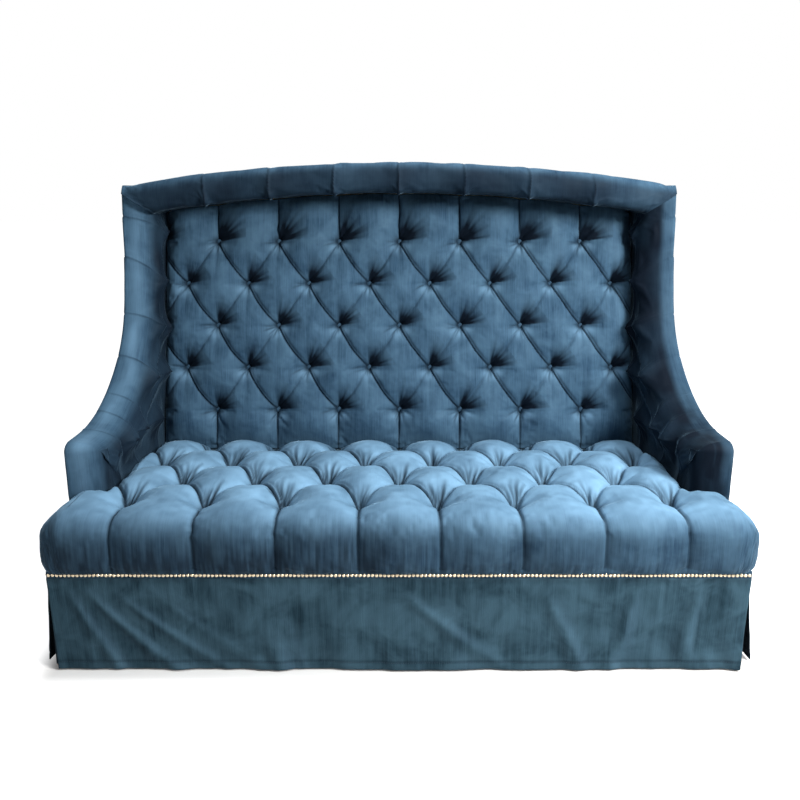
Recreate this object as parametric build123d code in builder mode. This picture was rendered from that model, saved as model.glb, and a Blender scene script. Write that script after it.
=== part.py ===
from build123d import *
from math import asin, atan, ceil, cos, degrees, hypot, radians, sin, sqrt, tan
import os

os.makedirs("parts", exist_ok=True)

# A high-backed, deep-buttoned sofa: base and skirt, T-shaped tufted seat, reclined tufted
# back, wings that scoop down to low arms, and an arched roll along the top.
# Millimetres. X runs along the seat, Y to the back, Z up. Left and right are as the
# sofa is seen from the front.

# Overall sizes
half_width = 1012.0
base_depth = 905.0
hood_top = 1485.0
wing_top = 1398.0
arm_height = 627.0
nail_height = 300.0
back_lean = 8.0

# Base
rail_thickness = 32.0
rail_height = 142.0
strip_half_height = 12.0
cross_rail_width = 60.0
cross_rail_drop = 40.0
cross_rail_place_share = 0.34
corner_block_leg = 110.0
foot_width = 60.0
glide_height = 6.0
glide_radius = 16.0
dust_cover_thickness = 2.0
skin = 5.0

# Skirt
hem_clearance = 7.0
skirt_fold = 12.0
skirt_top_fold = 1.0
skirt_end_draw = 15.0
side_skirt_flare = 30.0
side_skirt_draw = 30.0
front_folds = 7
side_folds = 4

# Nail line
nail_pitch = 11.75
nail_radius = 5.5
nail_dome = 2.6

# Tufting
tuft_pitch_share = 0.2591
button_radius = 11.0
button_edge = 2.5
button_dome = 4.5
dimple_floor_radius = 13.0
dimple_mouth_radius = 48.0

# Seat
seat_crown_height = 488.0
seat_back_height = 428.0
seat_button_height = 425.0
seat_pleat_height = 446.0
seat_row_spacing = 173.6
seat_rows = 4
seat_first_row = 144.0
seat_depth = 775.0
seat_overhang = 25.0
seat_end_overhang = 28.0
seat_nose_height = 360.0
seat_nose_radius = 70.0
seat_channel_depth = 20.0
seat_channel_proud = 2.0
seat_corner_radius = 65.0
seat_end_radius = 85.0
seat_end_nose_height = 354.0
seat_cover_below_buttons = 30.0
seat_shoulder = 640.0
seat_shoulder_drop = 22.0

# Springs and the layers over them
spring_count = 8
spring_wire = 4.0
spring_loop_pitch = 27.0
spring_loop_width = 46.0
spring_spacing_share = 0.23
clip_length = 18.0
clip_width = 26.0
clip_cap = 2.0
clip_gap = 2.0
burlap = 2.0
foam_front_gap = 40.0

# Inside back
back_row_height = 548.7
back_row_spacing = 163.4
back_rows = 5
back_crown = 43.0
back_pleat_rise = 14.0
back_cover_backing = 14.0
back_foam_low = 76.0
back_foam_top = 9.0
back_bottom_height = 400.0
back_tuck = 5.0
back_top_tuck = 15.0
back_tuck_run = 95.0

# Back frame
frame_thickness = 35.0
webbing_thickness = 1.5
webbing_width = 50.0
webbing_uprights = 6
webbing_crossings = 4
upright_width = 50.0
upright_place_share = 0.32
lower_rail_height = 70.0
top_rail_rise = 110.0

# Wings and arms
wing_thickness = 105.0
wing_roll = 45.0
wing_pad = 48.0
wing_edge_pad = 57.0
panel_thickness = 20.0
wing_dimple_depth = 33.0
wing_pleat_depth = 16.0
wing_pleat_half_width = 30.0
wing_dimple_mouth = 38.0
# Each button of the wing: how far its edge has turned, in degrees, and how far in it lies,
# as a share of the wing's thickness
wing_tuft_shares = ((85.5, 0.95), (80.5, 0.60), (66.5, 0.60), (44.5, 0.60), (23.0, 0.96), (13.6, 0.76),
                    (2.6, 0.75), (67.2, 1.34), (52.7, 1.72), (36.8, 2.0))
wing_pleats = ((0, 1), (1, 7), (7, 2), (7, 3), (3, 8), (8, 4), (4, 9), (4, 5))
wing_edge_pleats = ((0, 87.0), (1, 83.0), (2, 71.0), (3, 51.0), (4, 31.0), (5, 20.0), (6, 5.0))
arm_setback = 185.0
arm_flat = 97.0
arm_corner_radius = 55.0
scoop_radius = 470.0
scoop_turn = 79.0
stump_depth = 50.0
stump_inset = 20.0

# Top roll
hood_height = 112.0
hood_reach = 757.0
hood_wall = 30.0
hood_front_pad = 48.0
hood_end_height = 29.0
hood_round = 52.0
hood_pleat_depth = 12.0
hood_board_thickness = 22.0
hood_button_radius = 8.0
hood_button_dome = 3.0
hood_button_rise = 16.0
hood_button_sink = 24.0

# Cuts run past what they cut by this much
overrun = 60.0

# Places worked out from the sizes above
base_top = nail_height + strip_half_height
strip_bottom = nail_height - strip_half_height
rail_bottom = base_top - rail_height
arm_inner = half_width - wing_thickness
tuft_pitch = arm_inner * tuft_pitch_share
wing_core = arm_inner + wing_pad
panel_outer = half_width - skin
panel_inner = panel_outer - panel_thickness
lean = tan(radians(back_lean))
arch_rise = hood_top - wing_top
arch_radius = (half_width**2 + arch_rise**2) / (2 * arch_rise)
arch_centre = hood_top - arch_radius
core_top = hood_top - hood_wall
back_run = (core_top - nail_height) * lean
overall_depth = seat_overhang + base_depth + back_run
front_y = seat_overhang - overall_depth / 2
base_back = front_y + base_depth
rear_y = base_back + back_run
rail_front = front_y + skin
rail_back = base_back - skin


def arch_height(x, inset):
    # Height of the top arch at x, drawn in by inset.
    return arch_centre + sqrt((arch_radius - inset) ** 2 - x**2)


def back_y(z, inset):
    # Y of the leaning back frame at height z, drawn in from the outside by inset.
    return base_back + (z - nail_height) * lean - inset / cos(radians(back_lean))


def top_arc(half_span, inset):
    # The top arch over a span, drawn in by inset: every such arc is on one shared centre.
    half_turn = degrees(asin(half_span / (arch_radius - inset)))
    return CenterArc((0, arch_centre), arch_radius - inset, 90 - half_turn, 2 * half_turn)


def arch_face(y, half_span, top_inset, bottom_inset):
    # Front view, at y, of an arched band between two insets of the top arch.
    with BuildSketch(Plane.XZ.offset(-y)) as band:
        with BuildLine():
            top = top_arc(half_span, top_inset)
            low = top_arc(half_span, bottom_inset)
            Line(top @ 0, low @ 0)
            Line(top @ 1, low @ 1)
        make_face()
    return band.sketch


def under_arch_face(half_span, top_inset, bottom):
    # Front view of what lies under the top arch, down to a level line.
    with BuildSketch(Plane.XZ) as under:
        with BuildLine():
            top = top_arc(half_span, top_inset)
            Polyline(top @ 1, (-half_span, bottom), (half_span, bottom), top @ 0)
        make_face()
    return under.sketch


scoop_y = front_y + arm_setback + arm_flat
scoop_z = arm_height + scoop_radius
upper_radius = (wing_top - scoop_z + scoop_radius * cos(radians(scoop_turn))) / cos(radians(scoop_turn))
upper_y = scoop_y - (upper_radius - scoop_radius) * sin(radians(scoop_turn))
upper_z = wing_top


def outline_point(turn, inset):
    # Point of the wing's scooped edge where it has turned by so many degrees, drawn in by inset.
    if turn <= scoop_turn:
        radius, y, z = scoop_radius + inset, scoop_y, scoop_z
    else:
        radius, y, z = upper_radius + inset, upper_y, upper_z
    return (y + radius * sin(radians(turn)), z - radius * cos(radians(turn)))


def wing_face(x, inset, bottom, rear_inset):
    # Side view of the arm and wing at x, drawn in by inset along its edge.
    corner = max(arm_corner_radius - inset, skin)
    front = front_y + arm_setback + inset
    level = arm_height - inset
    knee = outline_point(scoop_turn, inset)
    with BuildSketch(Plane.YZ.offset(x)) as side:
        with BuildLine():
            Line((front, bottom), (front, level - corner))
            RadiusArc((front, level - corner), (front + corner, level), corner)
            Line((front + corner, level), (scoop_y, level))
            ThreePointArc((scoop_y, level), outline_point(scoop_turn / 2, inset), knee)
            top = (upper_y + upper_radius + inset, upper_z)
            middle = (scoop_turn + 90) / 2
            ThreePointArc(knee, (upper_y + (upper_radius + inset) * sin(radians(middle)),
                                 upper_z - (upper_radius + inset) * cos(radians(middle))), top)
            Polyline(top, (back_y(upper_z, rear_inset), upper_z), (back_y(bottom, rear_inset), bottom),
                     (front, bottom))
        make_face()
    return side.sketch


# The mitre where a wing meets the top roll, rising from its inside to its outside
mitre_low = arch_height(arm_inner, hood_height)
mitre_high = wing_top - hood_end_height
mitre_slope = atan((mitre_high - mitre_low) / wing_thickness)
mitre_plane = Plane(origin=(arm_inner, 0, mitre_low), x_dir=(0, 1, 0),
                    z_dir=(-sin(mitre_slope), 0, cos(mitre_slope)))


def leaning_plane(inset):
    # The back frame's plane, drawn in from the outside by inset; it faces the sitter.
    slope = radians(back_lean)
    return Plane(origin=(0, back_y(base_top, inset), base_top), x_dir=(1, 0, 0),
                 z_dir=(0, -cos(slope), sin(slope)))


frame_front = skin + frame_thickness
webbing_front = frame_front + 2 * webbing_thickness + burlap

# The inside back's own plane lies at the bottom of its buttons
lip_height = hood_top - hood_height
low_button_y = back_y(back_row_height, webbing_front) - back_foam_low - back_cover_backing
high_button_y = back_y(lip_height, webbing_front) - back_foam_top - back_cover_backing
recline = atan((high_button_y - low_button_y) / (lip_height - back_row_height))
back_plane = Plane(origin=(0, low_button_y, back_row_height), x_dir=(1, 0, 0),
                   z_dir=(0, -cos(recline), sin(recline)))


def inside_point(z, behind):
    # Point of the inside back's button plane at height z, or so far behind it.
    return (low_button_y + (z - back_row_height) * tan(recline) + behind, z)


def slope_point(v, out):
    # Point so far up the inside back's slope from the lowest buttons, and so far out of it.
    return (low_button_y + v * sin(recline) - out * cos(recline),
            back_row_height + v * cos(recline) + out * sin(recline))


def scallops(profile, pitch, count, low, high, depth):
    # A row of arcs from cusp to cusp at a steady pitch, closed well below them.
    with BuildSketch(profile) as row:
        with BuildLine():
            for place in range(-count, count):
                start = place * pitch
                ThreePointArc((start, low), (start + pitch / 2, high), (start + pitch, low))
            Polyline((count * pitch, low), (count * pitch, -depth), (-count * pitch, -depth),
                     (-count * pitch, low))
        make_face()
    return row.sketch


def diagonal_scallops(lattice, row_spacing, lean_side, low, high, depth, reach):
    # The rounded rows between one set of diagonal pleats, lying across the lattice's plane.
    run = hypot(tuft_pitch / 2, row_spacing)
    along = lattice.x_dir * (lean_side * tuft_pitch / 2 / run) + lattice.y_dir * (row_spacing / run)
    profile = Plane(origin=lattice.origin, x_dir=lattice.z_dir.cross(along), z_dir=along)
    spacing = tuft_pitch * row_spacing / run
    return scallops(profile, spacing, ceil(reach / spacing) + 1, low, high, depth), along


def row_places(rows, first_row_full):
    # Button places in a lattice: x, and the row's number.
    places = []
    for row in range(rows):
        full = (row % 2 == 0) == first_row_full
        count = 8 if full else 7
        for place in range(count):
            places.append(((place - (count - 1) / 2) * tuft_pitch, row))
    return places


def covered_button(radius, edge, dome):
    # A cloth-covered button: a short rim under a low dome, standing on the XY plane.
    sphere = (radius**2 + dome**2) / (2 * dome)
    with BuildPart() as button:
        with BuildSketch(Plane.XZ):
            with BuildLine():
                Line((0, 0), (radius, 0))
                Line((radius, 0), (radius, edge))
                middle = radius / 2
                ThreePointArc((radius, edge), (middle, edge + dome - sphere + sqrt(sphere**2 - middle**2)),
                              (0, edge + dome))
                Line((0, edge + dome), (0, 0))
            make_face()
        revolve(axis=Axis.Z)
    return button.part


# Seat frame

with BuildPart() as front_rail:
    with BuildSketch(Plane.XY.offset(rail_bottom)):
        with Locations((0, rail_front)):
            Rectangle(2 * panel_outer, rail_thickness, align=(Align.CENTER, Align.MIN))
    extrude(amount=rail_height)
front_rail.part.label = "front_rail"
export_step(front_rail.part, "parts/front_rail.step")

with BuildPart() as back_rail:
    with BuildSketch(Plane.XY.offset(rail_bottom)):
        with Locations((0, rail_back)):
            Rectangle(2 * panel_outer, rail_thickness, align=(Align.CENTER, Align.MAX))
    extrude(amount=rail_height)
back_rail.part.label = "back_rail"
export_step(back_rail.part, "parts/back_rail.step")

inner_front = rail_front + rail_thickness
inner_back = rail_back - rail_thickness
inner_depth = inner_back - inner_front

for side, sign in (("left", -1), ("right", 1)):
    with BuildPart() as side_rail:
        with BuildSketch(Plane.XY.offset(rail_bottom)):
            with Locations((sign * (panel_outer - rail_thickness / 2), inner_front)):
                Rectangle(rail_thickness, inner_depth, align=(Align.CENTER, Align.MIN))
        extrude(amount=rail_height)
    side_rail.part.label = f"side_rail_{side}"
    export_step(side_rail.part, f"parts/side_rail_{side}.step")

    with BuildPart() as cross_rail:
        with BuildSketch(Plane.XY.offset(rail_bottom)):
            with Locations((sign * half_width * cross_rail_place_share, inner_front)):
                Rectangle(cross_rail_width, inner_depth, align=(Align.CENTER, Align.MIN))
        extrude(amount=rail_height - cross_rail_drop)
    cross_rail.part.label = f"cross_rail_{side}"
    export_step(cross_rail.part, f"parts/cross_rail_{side}.step")

# Corner blocks stand over the feet, inside the frame's corners
block_x = panel_outer - rail_thickness
with BuildPart() as corner_blocks:
    for x_sign in (-1, 1):
        for y_corner, y_sign in ((inner_front, 1), (inner_back, -1)):
            with BuildSketch(Plane.XY.offset(rail_bottom)):
                with BuildLine():
                    Polyline((x_sign * block_x, y_corner),
                             (x_sign * (block_x - corner_block_leg), y_corner),
                             (x_sign * block_x, y_corner + y_sign * corner_block_leg), close=True)
                make_face()
            extrude(amount=rail_height - cross_rail_drop)
corner_blocks.part.label = "corner_blocks"
export_step(corner_blocks.part, "parts/corner_blocks.step")

# Feet and glides
foot_rows = (("front", rail_front + foot_width / 2), ("back", rail_back - foot_width / 2))
foot_x = panel_outer - foot_width / 2
foot_columns = (("left", -foot_x), ("centre", 0), ("right", foot_x))
foot_places = []
for row, y in foot_rows:
    for column, x in foot_columns:
        with BuildPart() as foot:
            with BuildSketch(Plane.XY.offset(glide_height)):
                with Locations((x, y)):
                    Rectangle(foot_width, foot_width)
            extrude(amount=rail_bottom - dust_cover_thickness - glide_height)
            chamfer(foot.faces().sort_by(Axis.Z)[0].edges(), length=foot_width / 20)
        foot.part.label = f"foot_{row}_{column}"
        export_step(foot.part, f"parts/foot_{row}_{column}.step")
        foot_places.append((x, y))

with BuildPart() as glides:
    with BuildSketch(Plane.XY):
        with Locations(*foot_places):
            Circle(glide_radius)
    extrude(amount=glide_height)
    chamfer(glides.edges().group_by(Axis.Z)[0], length=glide_height / 4)
glides.part.label = "glides"
export_step(glides.part, "parts/glides.step")

with BuildPart() as dust_cover:
    with BuildSketch(Plane.XY.offset(rail_bottom - dust_cover_thickness)):
        with Locations((0, (rail_front + rail_back) / 2)):
            Rectangle(2 * panel_outer, rail_back - rail_front)
    extrude(amount=dust_cover_thickness)
dust_cover.part.label = "dust_cover"
export_step(dust_cover.part, "parts/dust_cover.step")

# Springs, clips and burlap

spring_front = rail_front + rail_thickness / 2
spring_back = rail_back - rail_thickness / 2
spring_run = spring_back - spring_front
loop_count = 2 * int((spring_run - 2 * rail_thickness) / spring_loop_pitch / 2)
loop_pitch = (spring_run - 2 * rail_thickness) / loop_count
loop_radius = loop_pitch / 2
straight = spring_loop_width / 2 - loop_radius
wire_height = base_top + spring_wire / 2
loops_front = spring_front + rail_thickness

with BuildPart() as one_spring:
    with BuildLine() as wire:
        Line((0, spring_front, wire_height), (0, loops_front - loop_radius, wire_height))
        TangentArc((0, loops_front - loop_radius, wire_height), (loop_radius, loops_front, wire_height),
                   tangent=(0, 1, 0))
        Line((loop_radius, loops_front, wire_height), (straight, loops_front, wire_height))
        for loop in range(loop_count):
            way = 1 if loop % 2 == 0 else -1
            y = loops_front + loop * loop_pitch
            ThreePointArc((way * straight, y, wire_height),
                          (way * (straight + loop_radius), y + loop_radius, wire_height),
                          (way * straight, y + loop_pitch, wire_height))
            if loop < loop_count - 1:
                Line((way * straight, y + loop_pitch, wire_height),
                     (-way * straight, y + loop_pitch, wire_height))
        loops_back = loops_front + loop_count * loop_pitch
        Line((-straight, loops_back, wire_height), (-loop_radius, loops_back, wire_height))
        TangentArc((-loop_radius, loops_back, wire_height), (0, loops_back + loop_radius, wire_height),
                   tangent=(1, 0, 0))
        Line((0, loops_back + loop_radius, wire_height), (0, spring_back, wire_height))
    with BuildSketch(Plane(origin=(0, spring_front, wire_height), z_dir=(0, 1, 0))):
        Circle(spring_wire / 2)
    sweep()

spring_places = [((place - (spring_count - 1) / 2) * half_width * spring_spacing_share, 0)
                 for place in range(spring_count)]
with BuildPart() as seat_springs:
    with Locations(*spring_places):
        add(one_spring.part)
seat_springs.part.label = "seat_springs"
export_step(seat_springs.part, "parts/seat_springs.step")

with BuildPart() as spring_clips:
    clip_height = spring_wire + clip_cap
    for x, _ in spring_places:
        for y, way in ((spring_front, 1), (spring_back, -1)):
            with BuildSketch(Plane.XY.offset(base_top)):
                with Locations((x, y + way * (clip_length / 2 - spring_wire))):
                    Rectangle(clip_width, clip_length)
            extrude(amount=clip_height)
            with BuildSketch(Plane.XY.offset(base_top)):
                with Locations((x, y + way * (clip_length / 2 - spring_wire))):
                    Rectangle(spring_wire + clip_gap, clip_length)
            extrude(amount=spring_wire, mode=Mode.SUBTRACT)
spring_clips.part.label = "spring_clips"
export_step(spring_clips.part, "parts/spring_clips.step")

foam_front = rail_front + foam_front_gap
seat_rear = front_y + seat_depth
foam_base = base_top + spring_wire + burlap
seat_dimple_floor = seat_button_height - button_edge - button_dome
foam_top = seat_button_height - seat_cover_below_buttons

with BuildPart() as seat_burlap:
    with BuildSketch(Plane.XY.offset(base_top + spring_wire)):
        with Locations((0, foam_front)):
            Rectangle(2 * arm_inner, inner_back - foam_front, align=(Align.CENTER, Align.MIN))
    extrude(amount=burlap)
seat_burlap.part.label = "seat_burlap"
export_step(seat_burlap.part, "parts/seat_burlap.step")

with BuildPart() as seat_foam:
    with BuildSketch(Plane.XY.offset(foam_base)):
        with Locations((0, foam_front)):
            Rectangle(2 * arm_inner, seat_rear - foam_front, align=(Align.CENTER, Align.MIN))
    extrude(amount=foam_top - foam_base)
seat_foam.part.label = "seat_foam"
export_step(seat_foam.part, "parts/seat_foam.step")

# Seat cover: a T in plan, tufted on top, channelled down its front, rounded at its ends

seat_half = half_width + seat_end_overhang
seat_front = front_y - seat_overhang
first_row_y = front_y + seat_first_row
arm_front = front_y + arm_setback
seat_plane = Plane(origin=(tuft_pitch / 2, first_row_y, seat_button_height), z_dir=(0, 0, 1))
seat_low = seat_pleat_height - seat_button_height
seat_high = seat_crown_height - seat_button_height
seat_reach = 2 * half_width

with BuildPart() as seat_cover:
    with BuildSketch(Plane.XY.offset(base_top)):
        with Locations((0, first_row_y)):
            Rectangle(2 * seat_half, arm_front - first_row_y, align=(Align.CENTER, Align.MIN))
            Rectangle(2 * arm_inner, seat_rear - first_row_y, align=(Align.CENTER, Align.MIN))
    extrude(amount=seat_crown_height - base_top)
    for lean_side in (1, -1):
        rows, along = diagonal_scallops(seat_plane, seat_row_spacing, lean_side, seat_low, seat_high,
                                        seat_button_height, seat_reach)
        extrude(rows, amount=seat_reach, dir=along, both=True, mode=Mode.INTERSECT)
    # The pleats run straight forward from the front row
    extrude(seat_cover.faces().sort_by(Axis.Y)[0], amount=first_row_y - seat_front + overrun, dir=(0, -1, 0))
    # Side view of the seat: overhanging nose, crown, and the dip into the back
    with BuildSketch(Plane.YZ):
        with BuildLine():
            TangentArc((seat_front, seat_nose_height), (front_y, base_top), tangent=(0, -1))
            nose_top = seat_crown_height - seat_nose_radius
            Line((seat_front, seat_nose_height), (seat_front, nose_top))
            nose_back = seat_front + seat_nose_radius
            RadiusArc((seat_front, nose_top), (nose_back, seat_crown_height), seat_nose_radius)
            shoulder = (front_y + seat_shoulder, seat_crown_height - seat_shoulder_drop)
            crown = TangentArc((nose_back, seat_crown_height), shoulder, tangent=(1, 0))
            TangentArc(shoulder, (seat_rear, seat_back_height), tangent=crown % 1)
            Polyline((seat_rear, seat_back_height), (seat_rear, base_top), (front_y, base_top))
        make_face()
    extrude(amount=seat_half, both=True, mode=Mode.INTERSECT)
    # Front view: the rounded ends that hang over the base
    with BuildSketch(Plane.XZ.offset(-seat_rear)):
        with BuildLine():
            end_top = seat_crown_height - seat_end_radius
            TangentArc((seat_half, seat_end_nose_height), (half_width, base_top), tangent=(0, -1))
            Line((seat_half, seat_end_nose_height), (seat_half, end_top))
            end_inner = seat_half - seat_end_radius
            RadiusArc((seat_half, end_top), (end_inner, seat_crown_height), -seat_end_radius)
            Line((end_inner, seat_crown_height), (0, seat_crown_height))
            Line((half_width, base_top), (0, base_top))
            mirror(about=Plane.YZ)
        make_face()
    extrude(amount=seat_rear - seat_front, mode=Mode.INTERSECT)
    # Plan: rounded front corners, then the channels down the front
    with BuildSketch(Plane.XY.offset(base_top)):
        with Locations((0, seat_front)):
            RectangleRounded(2 * seat_half, 2 * seat_depth, seat_corner_radius,
                             align=(Align.CENTER, Align.MIN))
    extrude(amount=seat_crown_height - base_top, mode=Mode.INTERSECT)
    channel_plane = Plane(origin=(tuft_pitch / 2, seat_front + seat_channel_depth, base_top), x_dir=(1, 0, 0),
                          z_dir=(0, 0, -1))
    extrude(scallops(channel_plane, tuft_pitch, ceil(seat_half / tuft_pitch) + 1, 0,
                     seat_channel_depth + seat_channel_proud, seat_depth + seat_overhang),
            amount=seat_crown_height - base_top, dir=(0, 0, 1), mode=Mode.INTERSECT)
    # Room for the foam, and for the spring clips on the front rail
    with BuildSketch(Plane.XY):
        with Locations((0, foam_front)):
            Rectangle(2 * arm_inner, seat_depth, align=(Align.CENTER, Align.MIN))
    extrude(amount=foam_top, mode=Mode.SUBTRACT)
    with BuildSketch(Plane.XY):
        with Locations((0, rail_front)):
            Rectangle(2 * arm_inner, seat_depth, align=(Align.CENTER, Align.MIN))
    extrude(amount=base_top + clip_height + clip_gap, mode=Mode.SUBTRACT)
    seat_places = [(x, first_row_y + row * seat_row_spacing, seat_dimple_floor)
                   for x, row in row_places(seat_rows, True)]
    with Locations(*seat_places):
        Cone(dimple_floor_radius, dimple_mouth_radius, seat_crown_height - seat_dimple_floor,
             align=(Align.CENTER, Align.CENTER, Align.MIN), mode=Mode.SUBTRACT)
seat_cover.part.label = "seat_cover"
export_step(seat_cover.part, "parts/seat_cover.step")

button = covered_button(button_radius, button_edge, button_dome)
with BuildPart() as seat_buttons:
    with Locations(*seat_places):
        add(button)
seat_buttons.part.label = "seat_buttons"
export_step(seat_buttons.part, "parts/seat_buttons.step")

# Wings and arms: made on the right, then mirrored to the left

wing_long = half_width - wing_core
deep = base_top - overrun

with BuildPart() as arm_cover:
    extrude(wing_face(arm_inner, 0, base_top, frame_front), amount=wing_thickness, dir=(1, 0, 0))
    flats = arm_cover.faces().filter_by(Axis.X)
    ends = [arm_cover.faces().sort_by(Axis.Z)[0], arm_cover.faces().sort_by(Axis.Z)[-1],
            arm_cover.faces().sort_by(Axis.Y)[-1]]
    end_edges = [edge for face in ends for edge in face.edges()]
    fillet([edge for edge in flats.edges() if not any(edge.is_same(other) for other in end_edges)],
           radius=wing_roll)
    split(bisect_by=mitre_plane, keep=Keep.BOTTOM)
    extrude(wing_face(wing_core, wing_edge_pad, deep, 0), amount=wing_long, dir=(1, 0, 0), mode=Mode.SUBTRACT)
    wing_places = [outline_point(turn, share * wing_thickness) for turn, share in wing_tuft_shares]
    # Pleats between the buttons, and from the outer row over the rolled edge
    pleat_ends = [(wing_places[first], wing_places[second]) for first, second in wing_pleats]
    pleat_ends += [(wing_places[place], outline_point(turn, -wing_pleat_half_width))
                   for place, turn in wing_edge_pleats]
    for (y_from, z_from), (y_to, z_to) in pleat_ends:
        pleat = Plane(origin=(arm_inner, y_from, z_from), x_dir=(0, z_from - z_to, y_to - y_from),
                      z_dir=(0, y_to - y_from, z_to - z_from))
        with BuildSketch(pleat):
            with BuildLine():
                Polyline((-wing_pleat_half_width, 0), (0, wing_pleat_depth), (wing_pleat_half_width, 0),
                         (wing_pleat_half_width, -wing_pleat_depth),
                         (-wing_pleat_half_width, -wing_pleat_depth), close=True)
            make_face()
        extrude(amount=hypot(y_to - y_from, z_to - z_from), mode=Mode.SUBTRACT)
    wing_floor = arm_inner + wing_dimple_depth + button_edge + button_dome
    wing_floors = [Plane(origin=(wing_floor, y, z), x_dir=(0, 1, 0), z_dir=(-1, 0, 0))
                   for y, z in wing_places]
    with Locations(*wing_floors):
        Cone(dimple_floor_radius, wing_dimple_mouth, wing_floor - arm_inner,
             align=(Align.CENTER, Align.CENTER, Align.MIN), mode=Mode.SUBTRACT)

with BuildPart() as arm_buttons:
    with Locations(*wing_floors):
        add(button)

stump_front = arm_front + wing_edge_pad + stump_inset
stump_top = arm_height - wing_edge_pad
with BuildPart() as arm_stump:
    with BuildSketch(Plane.XY.offset(base_top)):
        with Locations((wing_core, stump_front)):
            Rectangle(panel_inner - wing_core, stump_depth, align=(Align.MIN, Align.MIN))
    extrude(amount=stump_top - base_top)

with BuildPart() as arm_foam:
    extrude(wing_face(wing_core, wing_edge_pad, base_top, frame_front), amount=panel_inner - wing_core,
            dir=(1, 0, 0))
    split(bisect_by=mitre_plane, keep=Keep.BOTTOM)
    add(arm_stump.part, mode=Mode.SUBTRACT)

with BuildPart() as arm_panel:
    extrude(wing_face(panel_inner, wing_edge_pad, base_top, skin), amount=panel_thickness, dir=(1, 0, 0))
    split(bisect_by=mitre_plane, keep=Keep.BOTTOM)

with BuildPart() as outside_arm:
    extrude(wing_face(panel_outer, wing_edge_pad, base_top, skin), amount=skin, dir=(1, 0, 0))
    split(bisect_by=mitre_plane, keep=Keep.BOTTOM)

with BuildPart() as back_post:
    post_top = arch_height(panel_inner, hood_wall)
    with BuildSketch(Plane.YZ.offset(wing_core)):
        with BuildLine():
            Polyline((back_y(base_top, frame_front), base_top), (back_y(post_top, frame_front), post_top),
                     (back_y(post_top, skin), post_top), (back_y(base_top, skin), base_top), close=True)
        make_face()
    extrude(amount=panel_inner - wing_core)

for name, right_piece in (("arm_cover", arm_cover), ("arm_buttons", arm_buttons), ("arm_stump", arm_stump),
                          ("arm_foam", arm_foam), ("arm_panel", arm_panel), ("outside_arm", outside_arm),
                          ("back_post", back_post)):
    right_piece.part.label = f"{name}_right"
    export_step(right_piece.part, f"parts/{name}_right.step")
    with BuildPart() as left_piece:
        mirror(right_piece.part, about=Plane.YZ)
    left_piece.part.label = f"{name}_left"
    export_step(left_piece.part, f"parts/{name}_left.step")

# Back frame, on the leaning plane between the posts

far = 2 * overall_depth

with BuildPart() as lower_rail:
    with BuildSketch(Plane.XZ):
        with Locations((0, back_bottom_height)):
            Rectangle(2 * wing_core, lower_rail_height, align=(Align.CENTER, Align.MIN))
    extrude(amount=far, both=True)
    split(bisect_by=leaning_plane(frame_front), keep=Keep.BOTTOM)
    split(bisect_by=leaning_plane(skin), keep=Keep.TOP)
lower_rail.part.label = "back_lower_rail"
export_step(lower_rail.part, "parts/back_lower_rail.step")

top_rail_bottom = lip_height - top_rail_rise
with BuildPart() as top_rail:
    extrude(under_arch_face(wing_core, hood_wall, top_rail_bottom), amount=far, both=True)
    split(bisect_by=leaning_plane(frame_front), keep=Keep.BOTTOM)
    split(bisect_by=leaning_plane(skin), keep=Keep.TOP)
top_rail.part.label = "back_top_rail"
export_step(top_rail.part, "parts/back_top_rail.step")

upright_bottom = back_bottom_height + lower_rail_height
for side, sign in (("left", -1), ("right", 1)):
    with BuildPart() as upright:
        with BuildSketch(Plane.XZ):
            with Locations((sign * half_width * upright_place_share, upright_bottom)):
                Rectangle(upright_width, top_rail_bottom - upright_bottom, align=(Align.CENTER, Align.MIN))
        extrude(amount=far, both=True)
        split(bisect_by=leaning_plane(frame_front), keep=Keep.BOTTOM)
        split(bisect_by=leaning_plane(skin), keep=Keep.TOP)
    upright.part.label = f"back_upright_{side}"
    export_step(upright.part, f"parts/back_upright_{side}.step")

with BuildPart() as outside_back:
    extrude(under_arch_face(half_width, hood_wall, base_top), amount=far, both=True)
    split(bisect_by=leaning_plane(skin), keep=Keep.BOTTOM)
    split(bisect_by=leaning_plane(0), keep=Keep.TOP)
outside_back.part.label = "outside_back"
export_step(outside_back.part, "parts/outside_back.step")

# Webbing and burlap across the front of the back frame

slope_cos = cos(radians(back_lean))
web_low = (back_bottom_height - base_top) / slope_cos
web_high = (mitre_low - base_top) / slope_cos
with BuildPart() as back_webbing:
    with BuildSketch(leaning_plane(frame_front)):
        for place in range(webbing_uprights):
            web_x = (place / (webbing_uprights - 1) * 2 - 1) * (arm_inner - webbing_width)
            with Locations((web_x, web_low)):
                Rectangle(webbing_width, web_high - web_low, align=(Align.CENTER, Align.MIN))
    extrude(amount=webbing_thickness)
    with BuildSketch(leaning_plane(frame_front + webbing_thickness)):
        for place in range(webbing_crossings):
            web_v = web_low + (place + 1) / (webbing_crossings + 1) * (web_high - web_low)
            with Locations((0, web_v)):
                Rectangle(2 * arm_inner, webbing_width)
    extrude(amount=webbing_thickness)
back_webbing.part.label = "back_webbing"
export_step(back_webbing.part, "parts/back_webbing.step")

with BuildPart() as back_burlap:
    with BuildSketch(leaning_plane(webbing_front - burlap)):
        with Locations((0, web_low)):
            Rectangle(2 * arm_inner, web_high - web_low, align=(Align.CENTER, Align.MIN))
    extrude(amount=burlap)
back_burlap.part.label = "back_burlap"
export_step(back_burlap.part, "parts/back_burlap.step")

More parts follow.
